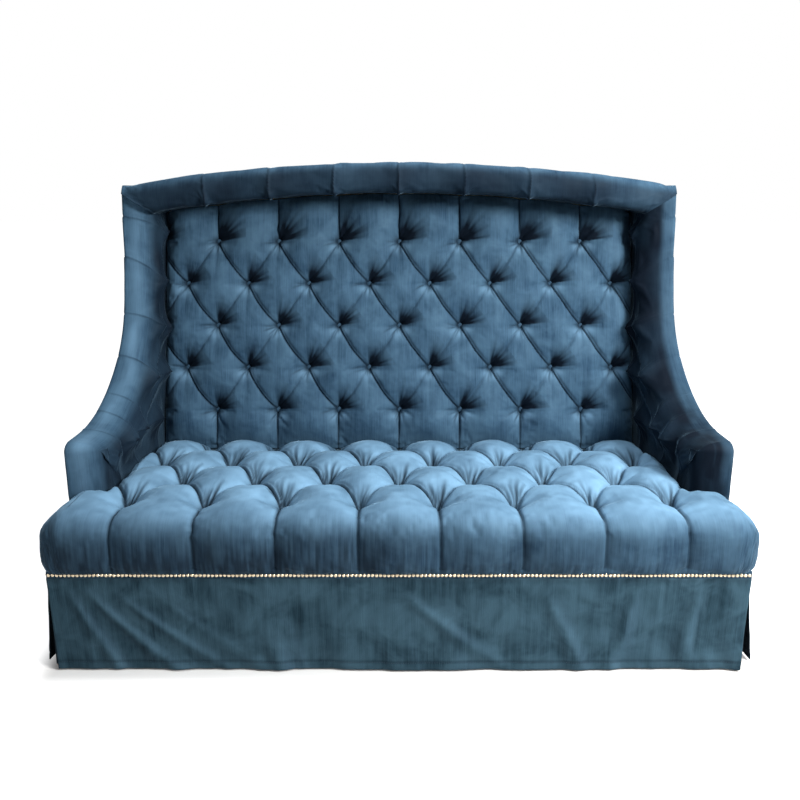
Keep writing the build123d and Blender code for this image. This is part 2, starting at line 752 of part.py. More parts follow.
with BuildPart() as back_foam:
    with BuildSketch(Plane.YZ.offset(-arm_inner)):
        with BuildLine():
            Polyline(inside_point(back_bottom_height, back_cover_backing),
                     inside_point(lip_height, back_cover_backing),
                     (back_y(lip_height, webbing_front), lip_height),
                     (back_y(back_bottom_height, webbing_front), back_bottom_height), close=True)
        make_face()
    extrude(amount=2 * arm_inner)
    extrude(under_arch_face(arm_inner, hood_height, back_bottom_height), amount=far, both=True,
            mode=Mode.INTERSECT)
back_foam.part.label = "back_foam"
export_step(back_foam.part, "parts/back_foam.step")

# Inside back cover: the tufted rows, and the straight pleats above and below them

back_span = (back_rows - 1) * back_row_spacing
tuck_v = (seat_back_height - back_row_height) / cos(recline)
lip_v = (lip_height - back_row_height) / cos(recline)
up_slope = (sin(recline), cos(recline))
down_slope = (-sin(recline), -cos(recline))
back_floor = button_edge + button_dome

with BuildPart() as back_cover:
    backing = back_cover_backing * cos(recline)
    with BuildSketch(back_plane.offset(-backing)):
        with Locations((0, back_span / 2)):
            Rectangle(2 * arm_inner, back_span)
    extrude(amount=backing + back_crown)
    for lean_side in (1, -1):
        rows, along = diagonal_scallops(back_plane, back_row_spacing, lean_side, back_pleat_rise, back_crown,
                                        overrun, 2 * half_width)
        extrude(rows, amount=2 * half_width, dir=along, both=True, mode=Mode.INTERSECT)
    slope_axis = Axis(back_plane.origin, back_plane.y_dir)
    extrude(back_cover.faces().sort_by(slope_axis)[0], amount=overrun - tuck_v, dir=back_plane.y_dir * -1)
    extrude(back_cover.faces().sort_by(slope_axis)[-1], amount=overrun + lip_v - back_span,
            dir=back_plane.y_dir)
    # Side view: full over the rows, drawn in to the seat and under the top roll
    with BuildSketch(Plane.YZ.offset(-arm_inner)):
        with BuildLine():
            low_full = slope_point(tuck_v + back_tuck_run, back_crown)
            high_full = slope_point(lip_v - back_tuck_run, back_crown)
            TangentArc(low_full, slope_point(tuck_v, back_tuck), tangent=down_slope)
            Line(low_full, high_full)
            TangentArc(high_full, slope_point(lip_v, back_top_tuck), tangent=up_slope)
            Polyline(slope_point(lip_v, back_top_tuck), slope_point(lip_v + overrun, back_top_tuck),
                     slope_point(lip_v + overrun, -overrun), slope_point(tuck_v - overrun, -overrun),
                     slope_point(tuck_v - overrun, back_tuck), slope_point(tuck_v, back_tuck))
        make_face()
    extrude(amount=2 * arm_inner, mode=Mode.INTERSECT)
    extrude(under_arch_face(arm_inner, hood_height, back_bottom_height), amount=far, both=True,
            mode=Mode.INTERSECT)
    with BuildSketch(Plane.XY.offset(back_bottom_height)):
        with Locations((0, seat_rear)):
            Rectangle(2 * arm_inner, overrun, align=(Align.CENTER, Align.MAX))
    extrude(amount=seat_back_height - back_bottom_height, mode=Mode.SUBTRACT)
    back_floors = [Plane(origin=back_plane.from_local_coords((x, row * back_row_spacing, -back_floor)),
                         x_dir=(1, 0, 0), z_dir=back_plane.z_dir) for x, row in row_places(back_rows, False)]
    with Locations(*back_floors):
        Cone(dimple_floor_radius, dimple_mouth_radius, back_floor + back_crown,
             align=(Align.CENTER, Align.CENTER, Align.MIN), mode=Mode.SUBTRACT)
back_cover.part.label = "back_cover"
export_step(back_cover.part, "parts/back_cover.step")

with BuildPart() as back_buttons:
    with Locations(*back_floors):
        add(button)
back_buttons.part.label = "back_buttons"
export_step(back_buttons.part, "parts/back_buttons.step")

# Top roll: its section is turned about the arch's own centre, then mitred onto the wings

hood_front = front_y + hood_reach
hood_turn = degrees(asin(half_width / (arch_radius - hood_height)))
board_front = hood_front + hood_front_pad
hood_floor_y = hood_front + hood_button_sink
hood_places = [(place * tuft_pitch, hood_floor_y,
                arch_height(place * tuft_pitch, hood_height) + hood_button_rise) for place in range(-3, 4)]

with BuildPart() as frame_zone:
    extrude(under_arch_face(panel_inner, hood_wall, 0), amount=far, both=True)
    split(bisect_by=leaning_plane(frame_front), keep=Keep.BOTTOM)

with BuildPart() as outer_zone:
    extrude(under_arch_face(half_width, hood_wall, 0), amount=far, both=True)
    split(bisect_by=leaning_plane(skin), keep=Keep.BOTTOM)

# Its section, on the plane through that centre at one end; heights are from the centre
section_turn = radians(hood_turn)
section_plane = Plane(origin=(0, 0, arch_centre), x_dir=(0, 1, 0),
                      z_dir=(cos(section_turn), 0, sin(section_turn)))
top_out = hood_top - arch_centre
lip_out = top_out - hood_height
nose_y = hood_front + hood_round

with BuildPart() as hood_cover:
    with BuildSketch(section_plane):
        with BuildLine():
            Line((rear_y, top_out), (nose_y, top_out))
            RadiusArc((nose_y, top_out), (hood_front, top_out - hood_round), -hood_round)
            Line((hood_front, top_out - hood_round), (hood_front, lip_out + hood_round))
            RadiusArc((hood_front, lip_out + hood_round), (nose_y, lip_out), -hood_round)
            Polyline((nose_y, lip_out), (rear_y, lip_out), (rear_y, top_out))
        make_face()
    revolve(axis=Axis((0, 0, arch_centre), (0, 1, 0)), revolution_arc=2 * hood_turn)
    with BuildSketch(Plane.XZ):
        with BuildLine():
            Polyline((-half_width, hood_top + overrun), (-half_width, mitre_high), (-arm_inner, mitre_low),
                     (-arm_inner, 0), (arm_inner, 0), (arm_inner, mitre_low), (half_width, mitre_high),
                     (half_width, hood_top + overrun), close=True)
        make_face()
    extrude(amount=far, both=True, mode=Mode.INTERSECT)
    # The pleats across its front
    hood_pleat_plane = Plane(origin=(0, hood_front + hood_pleat_depth, 0), x_dir=(1, 0, 0), z_dir=(0, 0, -1))
    extrude(scallops(hood_pleat_plane, tuft_pitch, ceil(half_width / tuft_pitch) + 1, 0,
                     hood_pleat_depth, overall_depth), amount=hood_top + overrun, dir=(0, 0, 1),
            mode=Mode.INTERSECT)
    # Room inside for the board and foam, and behind for the back frame and the outside back
    extrude(arch_face(board_front, wing_core, hood_wall, hood_height - hood_wall), amount=far, dir=(0, 1, 0),
            mode=Mode.SUBTRACT)
    add(frame_zone.part, mode=Mode.SUBTRACT)
    add(outer_zone.part, mode=Mode.SUBTRACT)
    with Locations(*hood_places):
        Cylinder(hood_button_radius + clip_gap, overrun, rotation=(90, 0, 0),
                 align=(Align.CENTER, Align.CENTER, Align.MIN), mode=Mode.SUBTRACT)
hood_cover.part.label = "hood_cover"
export_step(hood_cover.part, "parts/hood_cover.step")

with BuildPart() as hood_board:
    extrude(arch_face(board_front, wing_core, hood_wall, hood_height - hood_wall),
            amount=hood_board_thickness, dir=(0, 1, 0))
hood_board.part.label = "hood_board"
export_step(hood_board.part, "parts/hood_board.step")

with BuildPart() as hood_foam:
    extrude(arch_face(board_front + hood_board_thickness, wing_core, hood_wall, hood_height - hood_wall),
            amount=far, dir=(0, 1, 0))
    split(bisect_by=leaning_plane(frame_front), keep=Keep.TOP)
hood_foam.part.label = "hood_foam"
export_step(hood_foam.part, "parts/hood_foam.step")

small_button = covered_button(hood_button_radius, button_edge, hood_button_dome)
with BuildPart() as hood_buttons:
    with Locations(*[Plane(origin=place, x_dir=(1, 0, 0), z_dir=(0, -1, 0)) for place in hood_places]):
        add(small_button)
hood_buttons.part.label = "hood_buttons"
export_step(hood_buttons.part, "parts/hood_buttons.step")

# Tack strip round the base, and the nailheads on its front and sides

with BuildPart() as tack_strip:
    with BuildSketch(Plane.XY.offset(strip_bottom)):
        with Locations((0, front_y)):
            Rectangle(2 * half_width, base_depth, align=(Align.CENTER, Align.MIN))
        with Locations((0, rail_front)):
            Rectangle(2 * panel_outer, rail_back - rail_front, align=(Align.CENTER, Align.MIN),
                      mode=Mode.SUBTRACT)
    extrude(amount=2 * strip_half_height)
tack_strip.part.label = "tack_strip"
export_step(tack_strip.part, "parts/tack_strip.step")

nail_sphere = (nail_radius**2 + nail_dome**2) / (2 * nail_dome)
with BuildPart() as nail:
    with BuildSketch(Plane.XZ):
        with BuildLine():
            Line((0, 0), (nail_radius, 0))
            nail_middle = nail_radius / 2
            ThreePointArc((nail_radius, 0), (nail_middle, nail_dome - nail_sphere
                                             + sqrt(nail_sphere**2 - nail_middle**2)), (0, nail_dome))
            Line((0, nail_dome), (0, 0))
        make_face()
    revolve(axis=Axis.Z)


def nail_row(start, end):
    # Places of nails at a steady pitch, centred between two ends.
    count = int((end - start) / nail_pitch)
    first = (start + end - (count - 1) * nail_pitch) / 2
    return [first + place * nail_pitch for place in range(count)]


with BuildPart() as nails_front:
    with Locations(*[Plane(origin=(x, front_y, nail_height), x_dir=(1, 0, 0), z_dir=(0, -1, 0))
                     for x in nail_row(-half_width, half_width)]):
        add(nail.part)
nails_front.part.label = "nails_front"
export_step(nails_front.part, "parts/nails_front.step")

for side, sign in (("left", -1), ("right", 1)):
    with BuildPart() as nails_side:
        with Locations(*[Plane(origin=(sign * half_width, y, nail_height), x_dir=(0, sign, 0),
                               z_dir=(sign, 0, 0)) for y in nail_row(front_y, base_back)]):
            add(nail.part)
    nails_side.part.label = f"nails_{side}"
    export_step(nails_side.part, f"parts/nails_{side}.step")

# Skirt: four hanging panels, straight at the top and gently folded at the hem


def skirt_strip(plane, start, end, folds, fold, start_out, end_out):
    # Plan of a panel at one height: its outer line in folds, and its inner line one cloth behind.
    def at(share, behind):
        return (start + (end - start) * share, start_out + (end_out - start_out) * share - behind)

    with BuildSketch(plane) as strip:
        with BuildLine():
            steps = 2 * folds
            for behind, order in ((0, range(steps)), (skin, range(steps, 0, -1))):
                for step in order:
                    after = step + (1 if behind == 0 else -1)
                    middle = (step + after) / 2
                    bulge = fold / 2 * (1 if int(middle) % 2 == 0 else -1)
                    ThreePointArc(at(step / steps, behind), at(middle / steps, behind - bulge),
                                  at(after / steps, behind))
            Line(at(1, 0), at(1, skin))
            Line(at(0, skin), at(0, 0))
        make_face()
    return strip.sketch.face()


def skirt_plane(origin_x, origin_y, along, z):
    # Plane at height z whose X runs along a panel and whose Y points outwards.
    return Plane(origin=(origin_x, origin_y, z), x_dir=along, z_dir=(0, 0, -1))


side_front = rail_front
side_back = rail_back
side_middle = (side_front + side_back) / 2
side_half = (side_back - side_front) / 2
low_half = half_width - skirt_end_draw
half_fold = skirt_fold / 2
for name, y, along in (("front", front_y, (1, 0, 0)), ("back", base_back, (-1, 0, 0))):
    with BuildPart() as skirt:
        loft([skirt_strip(skirt_plane(0, y, along, strip_bottom), -half_width, half_width, front_folds,
                          skirt_top_fold, skirt_top_fold / 2, skirt_top_fold / 2),
              skirt_strip(skirt_plane(0, y, along, hem_clearance), -low_half, low_half, front_folds,
                          skirt_fold, half_fold, half_fold)], ruled=True)
    skirt.part.label = f"skirt_{name}"
    export_step(skirt.part, f"parts/skirt_{name}.step")

# The side panels flare towards the front, where the corners stand open
with BuildPart() as skirt_right:
    side_along = (0, 1, 0)
    loft([skirt_strip(skirt_plane(half_width, side_middle, side_along, strip_bottom), -side_half, side_half,
                      side_folds, skirt_top_fold, skirt_top_fold / 2, skirt_top_fold / 2),
          skirt_strip(skirt_plane(half_width, side_middle, side_along, hem_clearance),
                      side_skirt_draw - side_half, side_half, side_folds, skirt_fold,
                      half_fold + side_skirt_flare, half_fold)], ruled=True)
skirt_right.part.label = "skirt_right"
export_step(skirt_right.part, "parts/skirt_right.step")

with BuildPart() as skirt_left:
    mirror(skirt_right.part, about=Plane.YZ)
skirt_left.part.label = "skirt_left"
export_step(skirt_left.part, "parts/skirt_left.step")
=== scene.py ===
import math
import bmesh
import bpy
import numpy as np
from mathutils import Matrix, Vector


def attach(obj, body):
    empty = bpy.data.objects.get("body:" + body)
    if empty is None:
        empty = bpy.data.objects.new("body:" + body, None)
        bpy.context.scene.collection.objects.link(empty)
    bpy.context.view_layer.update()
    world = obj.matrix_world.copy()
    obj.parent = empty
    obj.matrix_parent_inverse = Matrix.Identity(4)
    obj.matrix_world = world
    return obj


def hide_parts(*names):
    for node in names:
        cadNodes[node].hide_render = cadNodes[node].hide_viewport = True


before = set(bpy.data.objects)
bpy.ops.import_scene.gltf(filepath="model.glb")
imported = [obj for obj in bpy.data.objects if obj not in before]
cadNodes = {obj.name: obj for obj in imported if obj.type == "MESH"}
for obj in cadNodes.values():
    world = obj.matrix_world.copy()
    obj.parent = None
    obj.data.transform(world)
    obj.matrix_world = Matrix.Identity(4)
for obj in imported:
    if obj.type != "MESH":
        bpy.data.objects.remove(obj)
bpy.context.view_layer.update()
scene = bpy.context.scene
print("frame loaded,", len(cadNodes), "nodes")

# Everything below is worked out in millimetres and made into metres where a mesh is written
sofa = {
    "halfWidth": 1012.0, "frontY": -521.16, "rearY": 546.16, "baseDepth": 905.0, "hoodTop": 1485.0, "wingTop": 1398.0,
    "armHeight": 627.0, "nailHeight": 300.0, "backLean": 8.0, "baseTop": 312.0, "pitch": 235.0, "rollHeight": 112.0,
    "rollWall": 29.0, "wingThickness": 105.0, "armSetback": 185.0, "armFlat": 97.0, "armCorner": 32.0,
    "scoopRadius": 470.0, "scoopTurn": 79.0, "seatDepth": 775.0, "seatRowSpacing": 173.6, "seatFirstRow": 144.0,
    "seatCrown": 488.0, "seatButton": 425.0, "backRowHeight": 548.7, "backRowSpacing": 163.4, "lipHeight": 1373.0,
    "lowButtonY": 283.35, "recline": 12.51,
}
halfWidth, frontY, rearY, baseTop, pitch, wingTop = (
    sofa[key] for key in ("halfWidth", "frontY", "rearY", "baseTop", "pitch", "wingTop"))
armInner = halfWidth - sofa["wingThickness"]
armFront = frontY + sofa["armSetback"]
baseBack = frontY + sofa["baseDepth"]
lean, recline = math.radians(sofa["backLean"]), math.radians(sofa["recline"])
archRise = sofa["hoodTop"] - wingTop
archRadius = (halfWidth ** 2 + archRise ** 2) / (2 * archRise)
archCentre = sofa["hoodTop"] - archRadius


def archHeight(x, inset):  # height of the top arch, drawn in by inset
    return archCentre + np.sqrt((archRadius - inset) ** 2 - np.square(x))


def backFrameY(z, inset):  # the leaning frame's Y at a height, drawn in from outside
    return baseBack + (z - sofa["nailHeight"]) * math.tan(lean) - inset / math.cos(lean)


# Helpers for smooth noise, lines, grids and meshes

def noise(x, y, cell, seed):  # smooth, from -1 to 1, with features the size of cell
    table = np.random.default_rng(seed).uniform(-1, 1, (128, 128))
    gx, gy = x / cell, y / cell
    ix, iy = np.floor(gx).astype(int), np.floor(gy).astype(int)
    fx, fy = (t * t * t * (t * (t * 6 - 15) + 10) for t in (gx - ix, gy - iy))
    low, high = (table[ix % 128, j % 128] * (1 - fx) + table[(ix + 1) % 128, j % 128] * fx for j in (iy, iy + 1))
    return low * (1 - fy) + high * fy


def ease(value, low, high):  # a soft step from 0 at low to 1 at high
    t = np.clip((value - low) / (high - low), 0, 1)
    return t * t * (3 - 2 * t)


def ridge(value, width, power=2):  # 1 on a line, falling off to both sides
    return np.exp(-(value / width) ** power)


def runAlong(line):  # distances along a line of points
    return np.concatenate([[0], np.cumsum(np.linalg.norm(np.diff(line, axis=0), axis=1))])


def evenly(line, step):  # the line set out again in even steps, and the distances along it
    run = runAlong(line)
    at = np.linspace(0, run[-1], round(run[-1] / step) + 1)
    return np.stack([np.interp(at, run, line[:, axis]) for axis in (0, 1)], 1), at


def gridNormals(points):  # unit normals of a grid, along rows x columns
    normals = np.cross(np.gradient(points, axis=1), np.gradient(points, axis=0))
    return normals / np.maximum(np.linalg.norm(normals, axis=2, keepdims=True), 1e-9)


def resample(values, rows, columns):  # a grid with other counts, its values blended with a little easing
    corner, part = [], []
    for size, count in zip(values.shape, (rows, columns)):
        at = np.linspace(0, size - 1, count)
        corner.append(np.minimum(at.astype(int), size - 2))
        part.append(at - corner[-1])
    (r, c), (fr, fc) = corner, (f * f * (3 - 2 * f) * 0.5 + f * 0.5 for f in part)
    fr, fc = fr[:, None, None], fc[None, :, None]
    low, high = (values[i][:, c] * (1 - fc) + values[i][:, c + 1] * fc for i in (r, r + 1))
    return low * (1 - fr) + high * fr


def resampleFlat(values, rows, columns):
    return resample(values[..., None], rows, columns)[..., 0]


def gridFaces(keep, first=0, flip=False):  # quads of the kept cells of a grid, by vertex number
    rows, columns = keep.shape[0] + 1, keep.shape[1] + 1
    ids = np.arange(rows * columns).reshape(rows, columns) + first
    quads = np.stack([ids[:-1, :-1], ids[:-1, 1:], ids[1:, 1:], ids[1:, :-1]], axis=-1)[keep]
    return quads[:, ::-1] if flip else quads


def sideIds(shape, corners):  # vertex numbers along each straight side between grid corners
    sides = []
    for start, end in zip(corners, corners[1:] + corners[:1]):
        steps = max(abs(end[0] - start[0]), abs(end[1] - start[1]))
        rows, columns = (np.linspace(a, b, steps + 1).round().astype(int) for a, b in zip(start, end))
        sides.append(rows * shape[1] + columns)
    return sides


def zipSides(first, second):  # triangles between two lines of vertices of unlike counts
    faces, i, j = [], 0, 0
    n, m = len(first) - 1, len(second) - 1
    while i < n or j < m:
        if j >= m or (i < n and (i + 1) / n <= (j + 1) / m):
            faces.append((first[i + 1], first[i], second[j]))
            i += 1
        else:
            faces.append((first[i], second[j], second[j + 1]))
            j += 1
    return faces


def newObject(name, mesh):
    piece = bpy.data.objects.new(name, mesh)
    scene.collection.objects.link(piece)
    return piece


def newPiece(name, vertices, faces, uv=None, attributes=None):  # a mesh object at the origin, smooth, in metres
    mesh = bpy.data.meshes.new(name)
    mesh.from_pydata((np.asarray(vertices) * 0.001).tolist(), [], [list(map(int, f)) for f in faces])
    mesh.polygons.foreach_set("use_smooth", [True] * len(mesh.polygons))
    if uv is not None:
        loops = np.zeros(len(mesh.loops), int)
        mesh.loops.foreach_get("vertex_index", loops)
        mesh.uv_layers.new(name="cloth").data.foreach_set("uv", (uv[loops] * 0.001).astype(np.float32).ravel())
    for key, values in (attributes or {}).items():
        mesh.attributes.new(key, "FLOAT", "POINT").data.foreach_set("value", np.asarray(values, np.float32))
    mesh.update()
    return newObject(name, mesh)


def declare(piece, slotName, replaced=(), material=None, fill=None, **sheet):
    if material:
        piece.data.materials.append(material)
    if replaced:
        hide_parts(*replaced)
    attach(piece, "root")


def closedShell(name, outer, inner, uv, fold, paintedHighlight=None, keeps=(None, None), corners=(None, None)):
    # A fine outer grid, a coarse inner one turned about, and a strip that joins their edges
    shapes = [outer.shape[:2], inner.shape[:2]]
    count, innerCount = (rows * columns for rows, columns in shapes)
    faces, sides = [], []
    for (rows, columns), keep, outline in zip(shapes, keeps, corners):
        keep = np.ones((rows - 1, columns - 1), bool) if keep is None else keep
        faces += gridFaces(keep, count if sides else 0, bool(sides)).tolist()
        outline = outline or [(0, 0), (0, columns - 1), (rows - 1, columns - 1), (rows - 1, 0)]
        sides.append(sideIds((rows, columns), outline))
    for outside, inside in zip(*sides):
        faces += zipSides(outside.tolist(), (inside + count).tolist())
    points = np.concatenate([outer.reshape(-1, 3), inner.reshape(-1, 3)])
    flat = np.concatenate([uv.reshape(-1, 2), resample(uv, *shapes[1]).reshape(-1, 2)])
    # Painted shade for each point, full over the hidden inner grid, and painted highlight, none there
    folds = np.concatenate([fold.ravel(), np.ones(innerCount)])
    paintedHighlights = np.concatenate([(fold * 0 if paintedHighlight is None else paintedHighlight).ravel(), np.zeros(innerCount)])
    used = np.zeros(len(points), bool)
    for face in faces:
        used[list(face)] = True
    number = np.cumsum(used) - 1
    faces = [[number[v] for v in face] for face in faces]
    return newPiece(name, points[used], faces, flat[used], {"fold": folds[used], "paintedHighlight": paintedHighlights[used]})


def relaxCloth(points, keep, pinned, cloth):  # the cloth settles under pressure, held at its pins
    piece = newPiece("settlingCloth", points.reshape(-1, 3), gridFaces(keep).tolist())
    held = piece.vertex_groups.new(name="held")
    held.add(np.flatnonzero(pinned.ravel()).tolist(), 1.0, "ADD")
    modifier = piece.modifiers.new("Cloth", "CLOTH")
    settings = modifier.settings
    settings.quality, settings.mass, settings.air_damping = 4, 0.3, 2.0
    settings.tension_stiffness = settings.compression_stiffness = cloth["stiffness"]
    settings.shear_stiffness, settings.bending_stiffness = 4, cloth["bending"]
    settings.vertex_group_mass = "held"
    settings.use_pressure, settings.uniform_pressure_force = cloth["pressure"] > 0, cloth["pressure"]
    settings.shrink_min = -cloth["growth"]
    settings.effector_weights.gravity = cloth["gravity"]
    modifier.collision_settings.use_collision = False
    modifier.point_cache.frame_start, modifier.point_cache.frame_end = 1, cloth["frames"]
    for frameNumber in range(1, cloth["frames"] + 1):
        scene.frame_set(frameNumber)
    settled = piece.evaluated_get(bpy.context.evaluated_depsgraph_get())
    flat = np.zeros(len(settled.data.vertices) * 3)
    settled.data.vertices.foreach_get("co", flat)
    moved = flat.reshape(points.shape) * 1000 - points
    mesh = piece.data
    bpy.data.objects.remove(piece)
    bpy.data.meshes.remove(mesh)
    scene.frame_set(1)
    length = np.linalg.norm(moved, axis=2, keepdims=True)
    return moved * np.minimum(1, cloth["cap"] / np.maximum(length, 1e-6))


def settle(surface, reach, counts, cloth, heldColumns=(0, -1)):  # on a coarser grid, pinned at buttons and edges
    up, across = (np.linspace(0, size - 1, count).round().astype(int) for size, count in zip(surface.shape, counts))
    held = reach[up][:, across] < cloth["pinReach"]
    held[[0, -1], :] = held[:, list(heldColumns)] = True
    moved = relaxCloth(surface[up][:, across], np.ones((len(up) - 1, len(across) - 1), bool), held, cloth)
    return surface + resample(moved, *surface.shape[:2])


def tuftedHeight(x, y, tuft):  # height over the buttons, painted shade and painted highlight, for diamonds between rows of buttons
    spacing, seed = tuft["spacing"], tuft["seed"]
    span = (tuft["rows"] - 1) * spacing
    within = np.clip(y, 0, span)
    inLattice = ease(y, -6, 12) * ease(span - y, -6, 12)
    lineGap = 1 / math.hypot(1 / pitch, 1 / (2 * spacing))
    across = lineGap * inLattice + pitch * (1 - inLattice)
    first, second = (x / pitch - tuft["phase"] + turn * within / (2 * spacing) for turn in (1, -1))
    nearFirst, nearSecond = np.round(first), np.round(second)
    along, alongOther = np.abs(np.sin(np.pi * second)), np.abs(np.sin(np.pi * first))
    wander = tuft["wander"] * noise(x, y, 70, seed + 1)
    offFirst = (first - nearFirst) * across + (tuft["bow"] * along + wander * along) * inLattice
    offSecond = (second - nearSecond) * across - (0.6 * tuft["bow"] - wander) * alongOther * inLattice
    wave, waveOther = (np.abs(np.sin(np.pi * np.clip(off / across, -0.5, 0.5))) ** tuft["fullness"]
                       for off in (offFirst, offSecond))
    rise, crown = tuft["rise"], tuft["crown"]
    height = rise * np.maximum(wave, waveOther) ** 0.8 + (crown - rise) * (wave * waveOther) ** 0.8
    # The nearest button, and its distance and direction
    buttonY = np.clip((nearFirst - nearSecond) * spacing, 0, span)
    dx, dy = x - ((nearFirst + nearSecond) / 2 + tuft["phase"]) * pitch, y - buttonY
    reach, turn = np.hypot(dx, dy), np.arctan2(dy, dx)
    degrees = np.degrees(turn)
    draws = np.random.default_rng(seed).uniform(0, 1, (997, 4))
    number = (nearFirst * 71 + nearSecond * 173).astype(int)
    height -= tuft["dimple"] * ridge(reach, 17)
    # The fan of gathered cloth above each button, sunk a little and darkened with painted shade
    low, high = tuft["fanAngles"]
    inFan = ease(degrees, low - 2, low + 5) * (1 - ease(degrees, high - 26, high + 6))
    height -= tuft["fanDepth"] * inFan * ridge(reach, tuft["fanReach"], 1.6)
    ragged = tuft["shadeReach"] * (0.95 + 0.2 * noise(degrees * 9, number * 17.0, 60, seed + 9))
    ragged = ragged * np.where(buttonY > span - 1, tuft["topShade"], 1.0)
    shade = np.minimum(1.9 * inFan * ridge(reach, ragged, 1.8), 1)
    # Painted highlight on the cloth below and to the left of each button
    paintedHighlight = tuft["paintedHighlight"] * ridge(reach - 26, 24) * ease(-degrees, 8, 30) * ease(degrees, -178, -120)
    paintedCreaseShade = np.zeros(x.shape)
    for wrinkle, angle in enumerate(tuft["wrinkleAngles"]):
        draw = draws[(number * 13 + wrinkle * 29) % 997]
        heading = np.radians(angle + (draw[..., 0] - 0.5) * tuft["jitter"])
        ahead = reach * np.cos(turn - heading)
        aside = reach * np.sin(turn - heading) + 2.5 * np.sin(ahead / 17 + 6 * draw[..., 1])
        length = tuft["wrinkleReach"] * (0.55 + 0.75 * draw[..., 1])
        shape = ridge(aside, tuft["creaseWidth"] + 0.035 * ahead.clip(0))
        drawn = shape * ease(ahead, 5, 14) * (1 - ease(ahead, length * 0.35, length))
        height -= tuft["wrinkle"] * (0.45 + 0.9 * draw[..., 2]) * drawn
        paintedCreaseShade = np.maximum(paintedCreaseShade, drawn * (0.6 + 0.4 * draw[..., 2]))
    # Folded pleats: a crisp double line on one diagonal, a softer one on the other
    sharp, soft = ridge(offFirst, tuft["crisp"]), ridge(offSecond, 5.5)
    lap, lip = ridge(offFirst - tuft["lapGap"], 3.0) * along, ridge(offFirst - 5.0, 4.5)
    height += tuft["pleat"] * (-sharp - 0.45 * lap + 0.35 * lip) - tuft["softPleat"] * soft
    # Painted shade in the pleat lines, at the buttons, in the fans and along the creases
    fold = np.maximum.reduce([sharp, tuft["softShade"] * soft, ridge(reach, 18), tuft["lapShade"] * lap,
                              tuft["fanShade"] * shade, tuft["creaseShade"] * paintedCreaseShade])
    return height, fold, reach, paintedHighlight * (1 - fold)


def starWrinkles(near, heading, which, star):  # short creases that run out from the nearest button
    draws = np.random.default_rng(star["seed"]).uniform(0, 1, (star["buttons"], 9, 3))
    total = np.zeros(near.shape)
    for wrinkle in range(9):
        draw = draws[which, wrinkle]
        angle = 2 * np.pi * (wrinkle + 0.8 * draw[..., 0]) / 9
        ahead, aside = near * np.cos(heading - angle), near * np.sin(heading - angle)
        length = star["length"] * (1 + draw[..., 1])
        shape = ridge(aside, star["width"] + 0.06 * ahead.clip(0)) * ease(ahead, *star["start"])
        total += star["depth"] * (0.4 + draw[..., 2]) * shape * (1 - ease(ahead, length * 0.4, length))
    return total


# Camera, lamps, floor

camera = newObject("camera", bpy.data.cameras.new("camera"))
camera.location = (0, -2.4314, 1.3823)
camera.rotation_euler = (math.radians(78.87), 0, 0)
camera.data.lens, camera.data.sensor_width = 32.71, 36
camera.data.shift_x, camera.data.shift_y = 0.00125, -0.083
scene.camera = camera

studio = {
    "lamps": (("keyLamp", (2.05, -1.75, 2.1), (-0.15, 0.1, 0.75), (0.9, 0.8), 150.0, (1.0, 0.985, 0.96)),
              ("topLamp", (0.5, -0.35, 3.5), (0.0, -0.2, 0.5), (2.6, 1.2), 70.0, (0.98, 0.99, 1.0)),
              ("fillLamp", (-3.0, -2.6, 1.9), (0.0, 0.0, 0.7), (2.4, 2.0), 3.0, (0.94, 0.97, 1.0))),
    "sky": 0.12, "skyColour": (0.93, 0.97, 1.0, 1), "floorSize": 30.0, "floorLift": 0.08, "floorShade": 0.8,
    "footing": (1.0, 0.47, 1.0), "footingCentre": (0.0, -0.07, 0.0), "shadowReach": 0.11,
}
for name, place, target, size, power, colour in studio["lamps"]:
    lamp = newObject(name, bpy.data.lights.new(name, "AREA"))
    lamp.data.shape, lamp.data.size, lamp.data.size_y = "RECTANGLE", size[0], size[1]
    lamp.data.energy, lamp.data.color = power, colour
    lamp.location = place
    lamp.rotation_euler = (Vector(target) - Vector(place)).to_track_quat("-Z", "Y").to_euler()


class Wiring:  # a short way to write a node tree: an input is a value, a node, or a node and its output
    def __init__(self, tree):
        self.tree = tree
        tree.nodes.clear()

    def feed(self, target, inputs):
        for socket, value in inputs.items():
            if isinstance(value, bpy.types.Node):
                value = (value, 0)
            if isinstance(value, tuple) and isinstance(value[0], bpy.types.Node):
                self.tree.links.new(value[0].outputs[value[1]], target.inputs[socket])
            else:
                target.inputs[socket].default_value = value

    def node(self, kind, inputs, **settings):
        made = self.tree.nodes.new(kind)
        for key, value in settings.items():
            setattr(made, key, value)
        self.feed(made, inputs)
        return made

    def sums(self, kind, *values):
        return self.node("ShaderNodeMath", dict(enumerate(values)), operation=kind)


scene.world = bpy.data.worlds.new("studioWorld")
scene.world.use_nodes = True
scene.view_settings.view_transform = "Standard"
w = Wiring(scene.world.node_tree)
path = w.node("ShaderNodeLightPath", {})
seen = w.sums("MAXIMUM", (path, "Is Camera Ray"), (path, "Is Glossy Ray"))
seen = w.sums("MAXIMUM", seen, (path, "Is Transmission Ray"))
sky = w.node("ShaderNodeBackground", {"Color": studio["skyColour"], "Strength": studio["sky"]})
white = w.node("ShaderNodeBackground", {"Color": (1, 1, 1, 1), "Strength": 1.0})
w.node("ShaderNodeOutputWorld", {0: w.node("ShaderNodeMixShader", {0: seen, 1: sky, 2: white})})

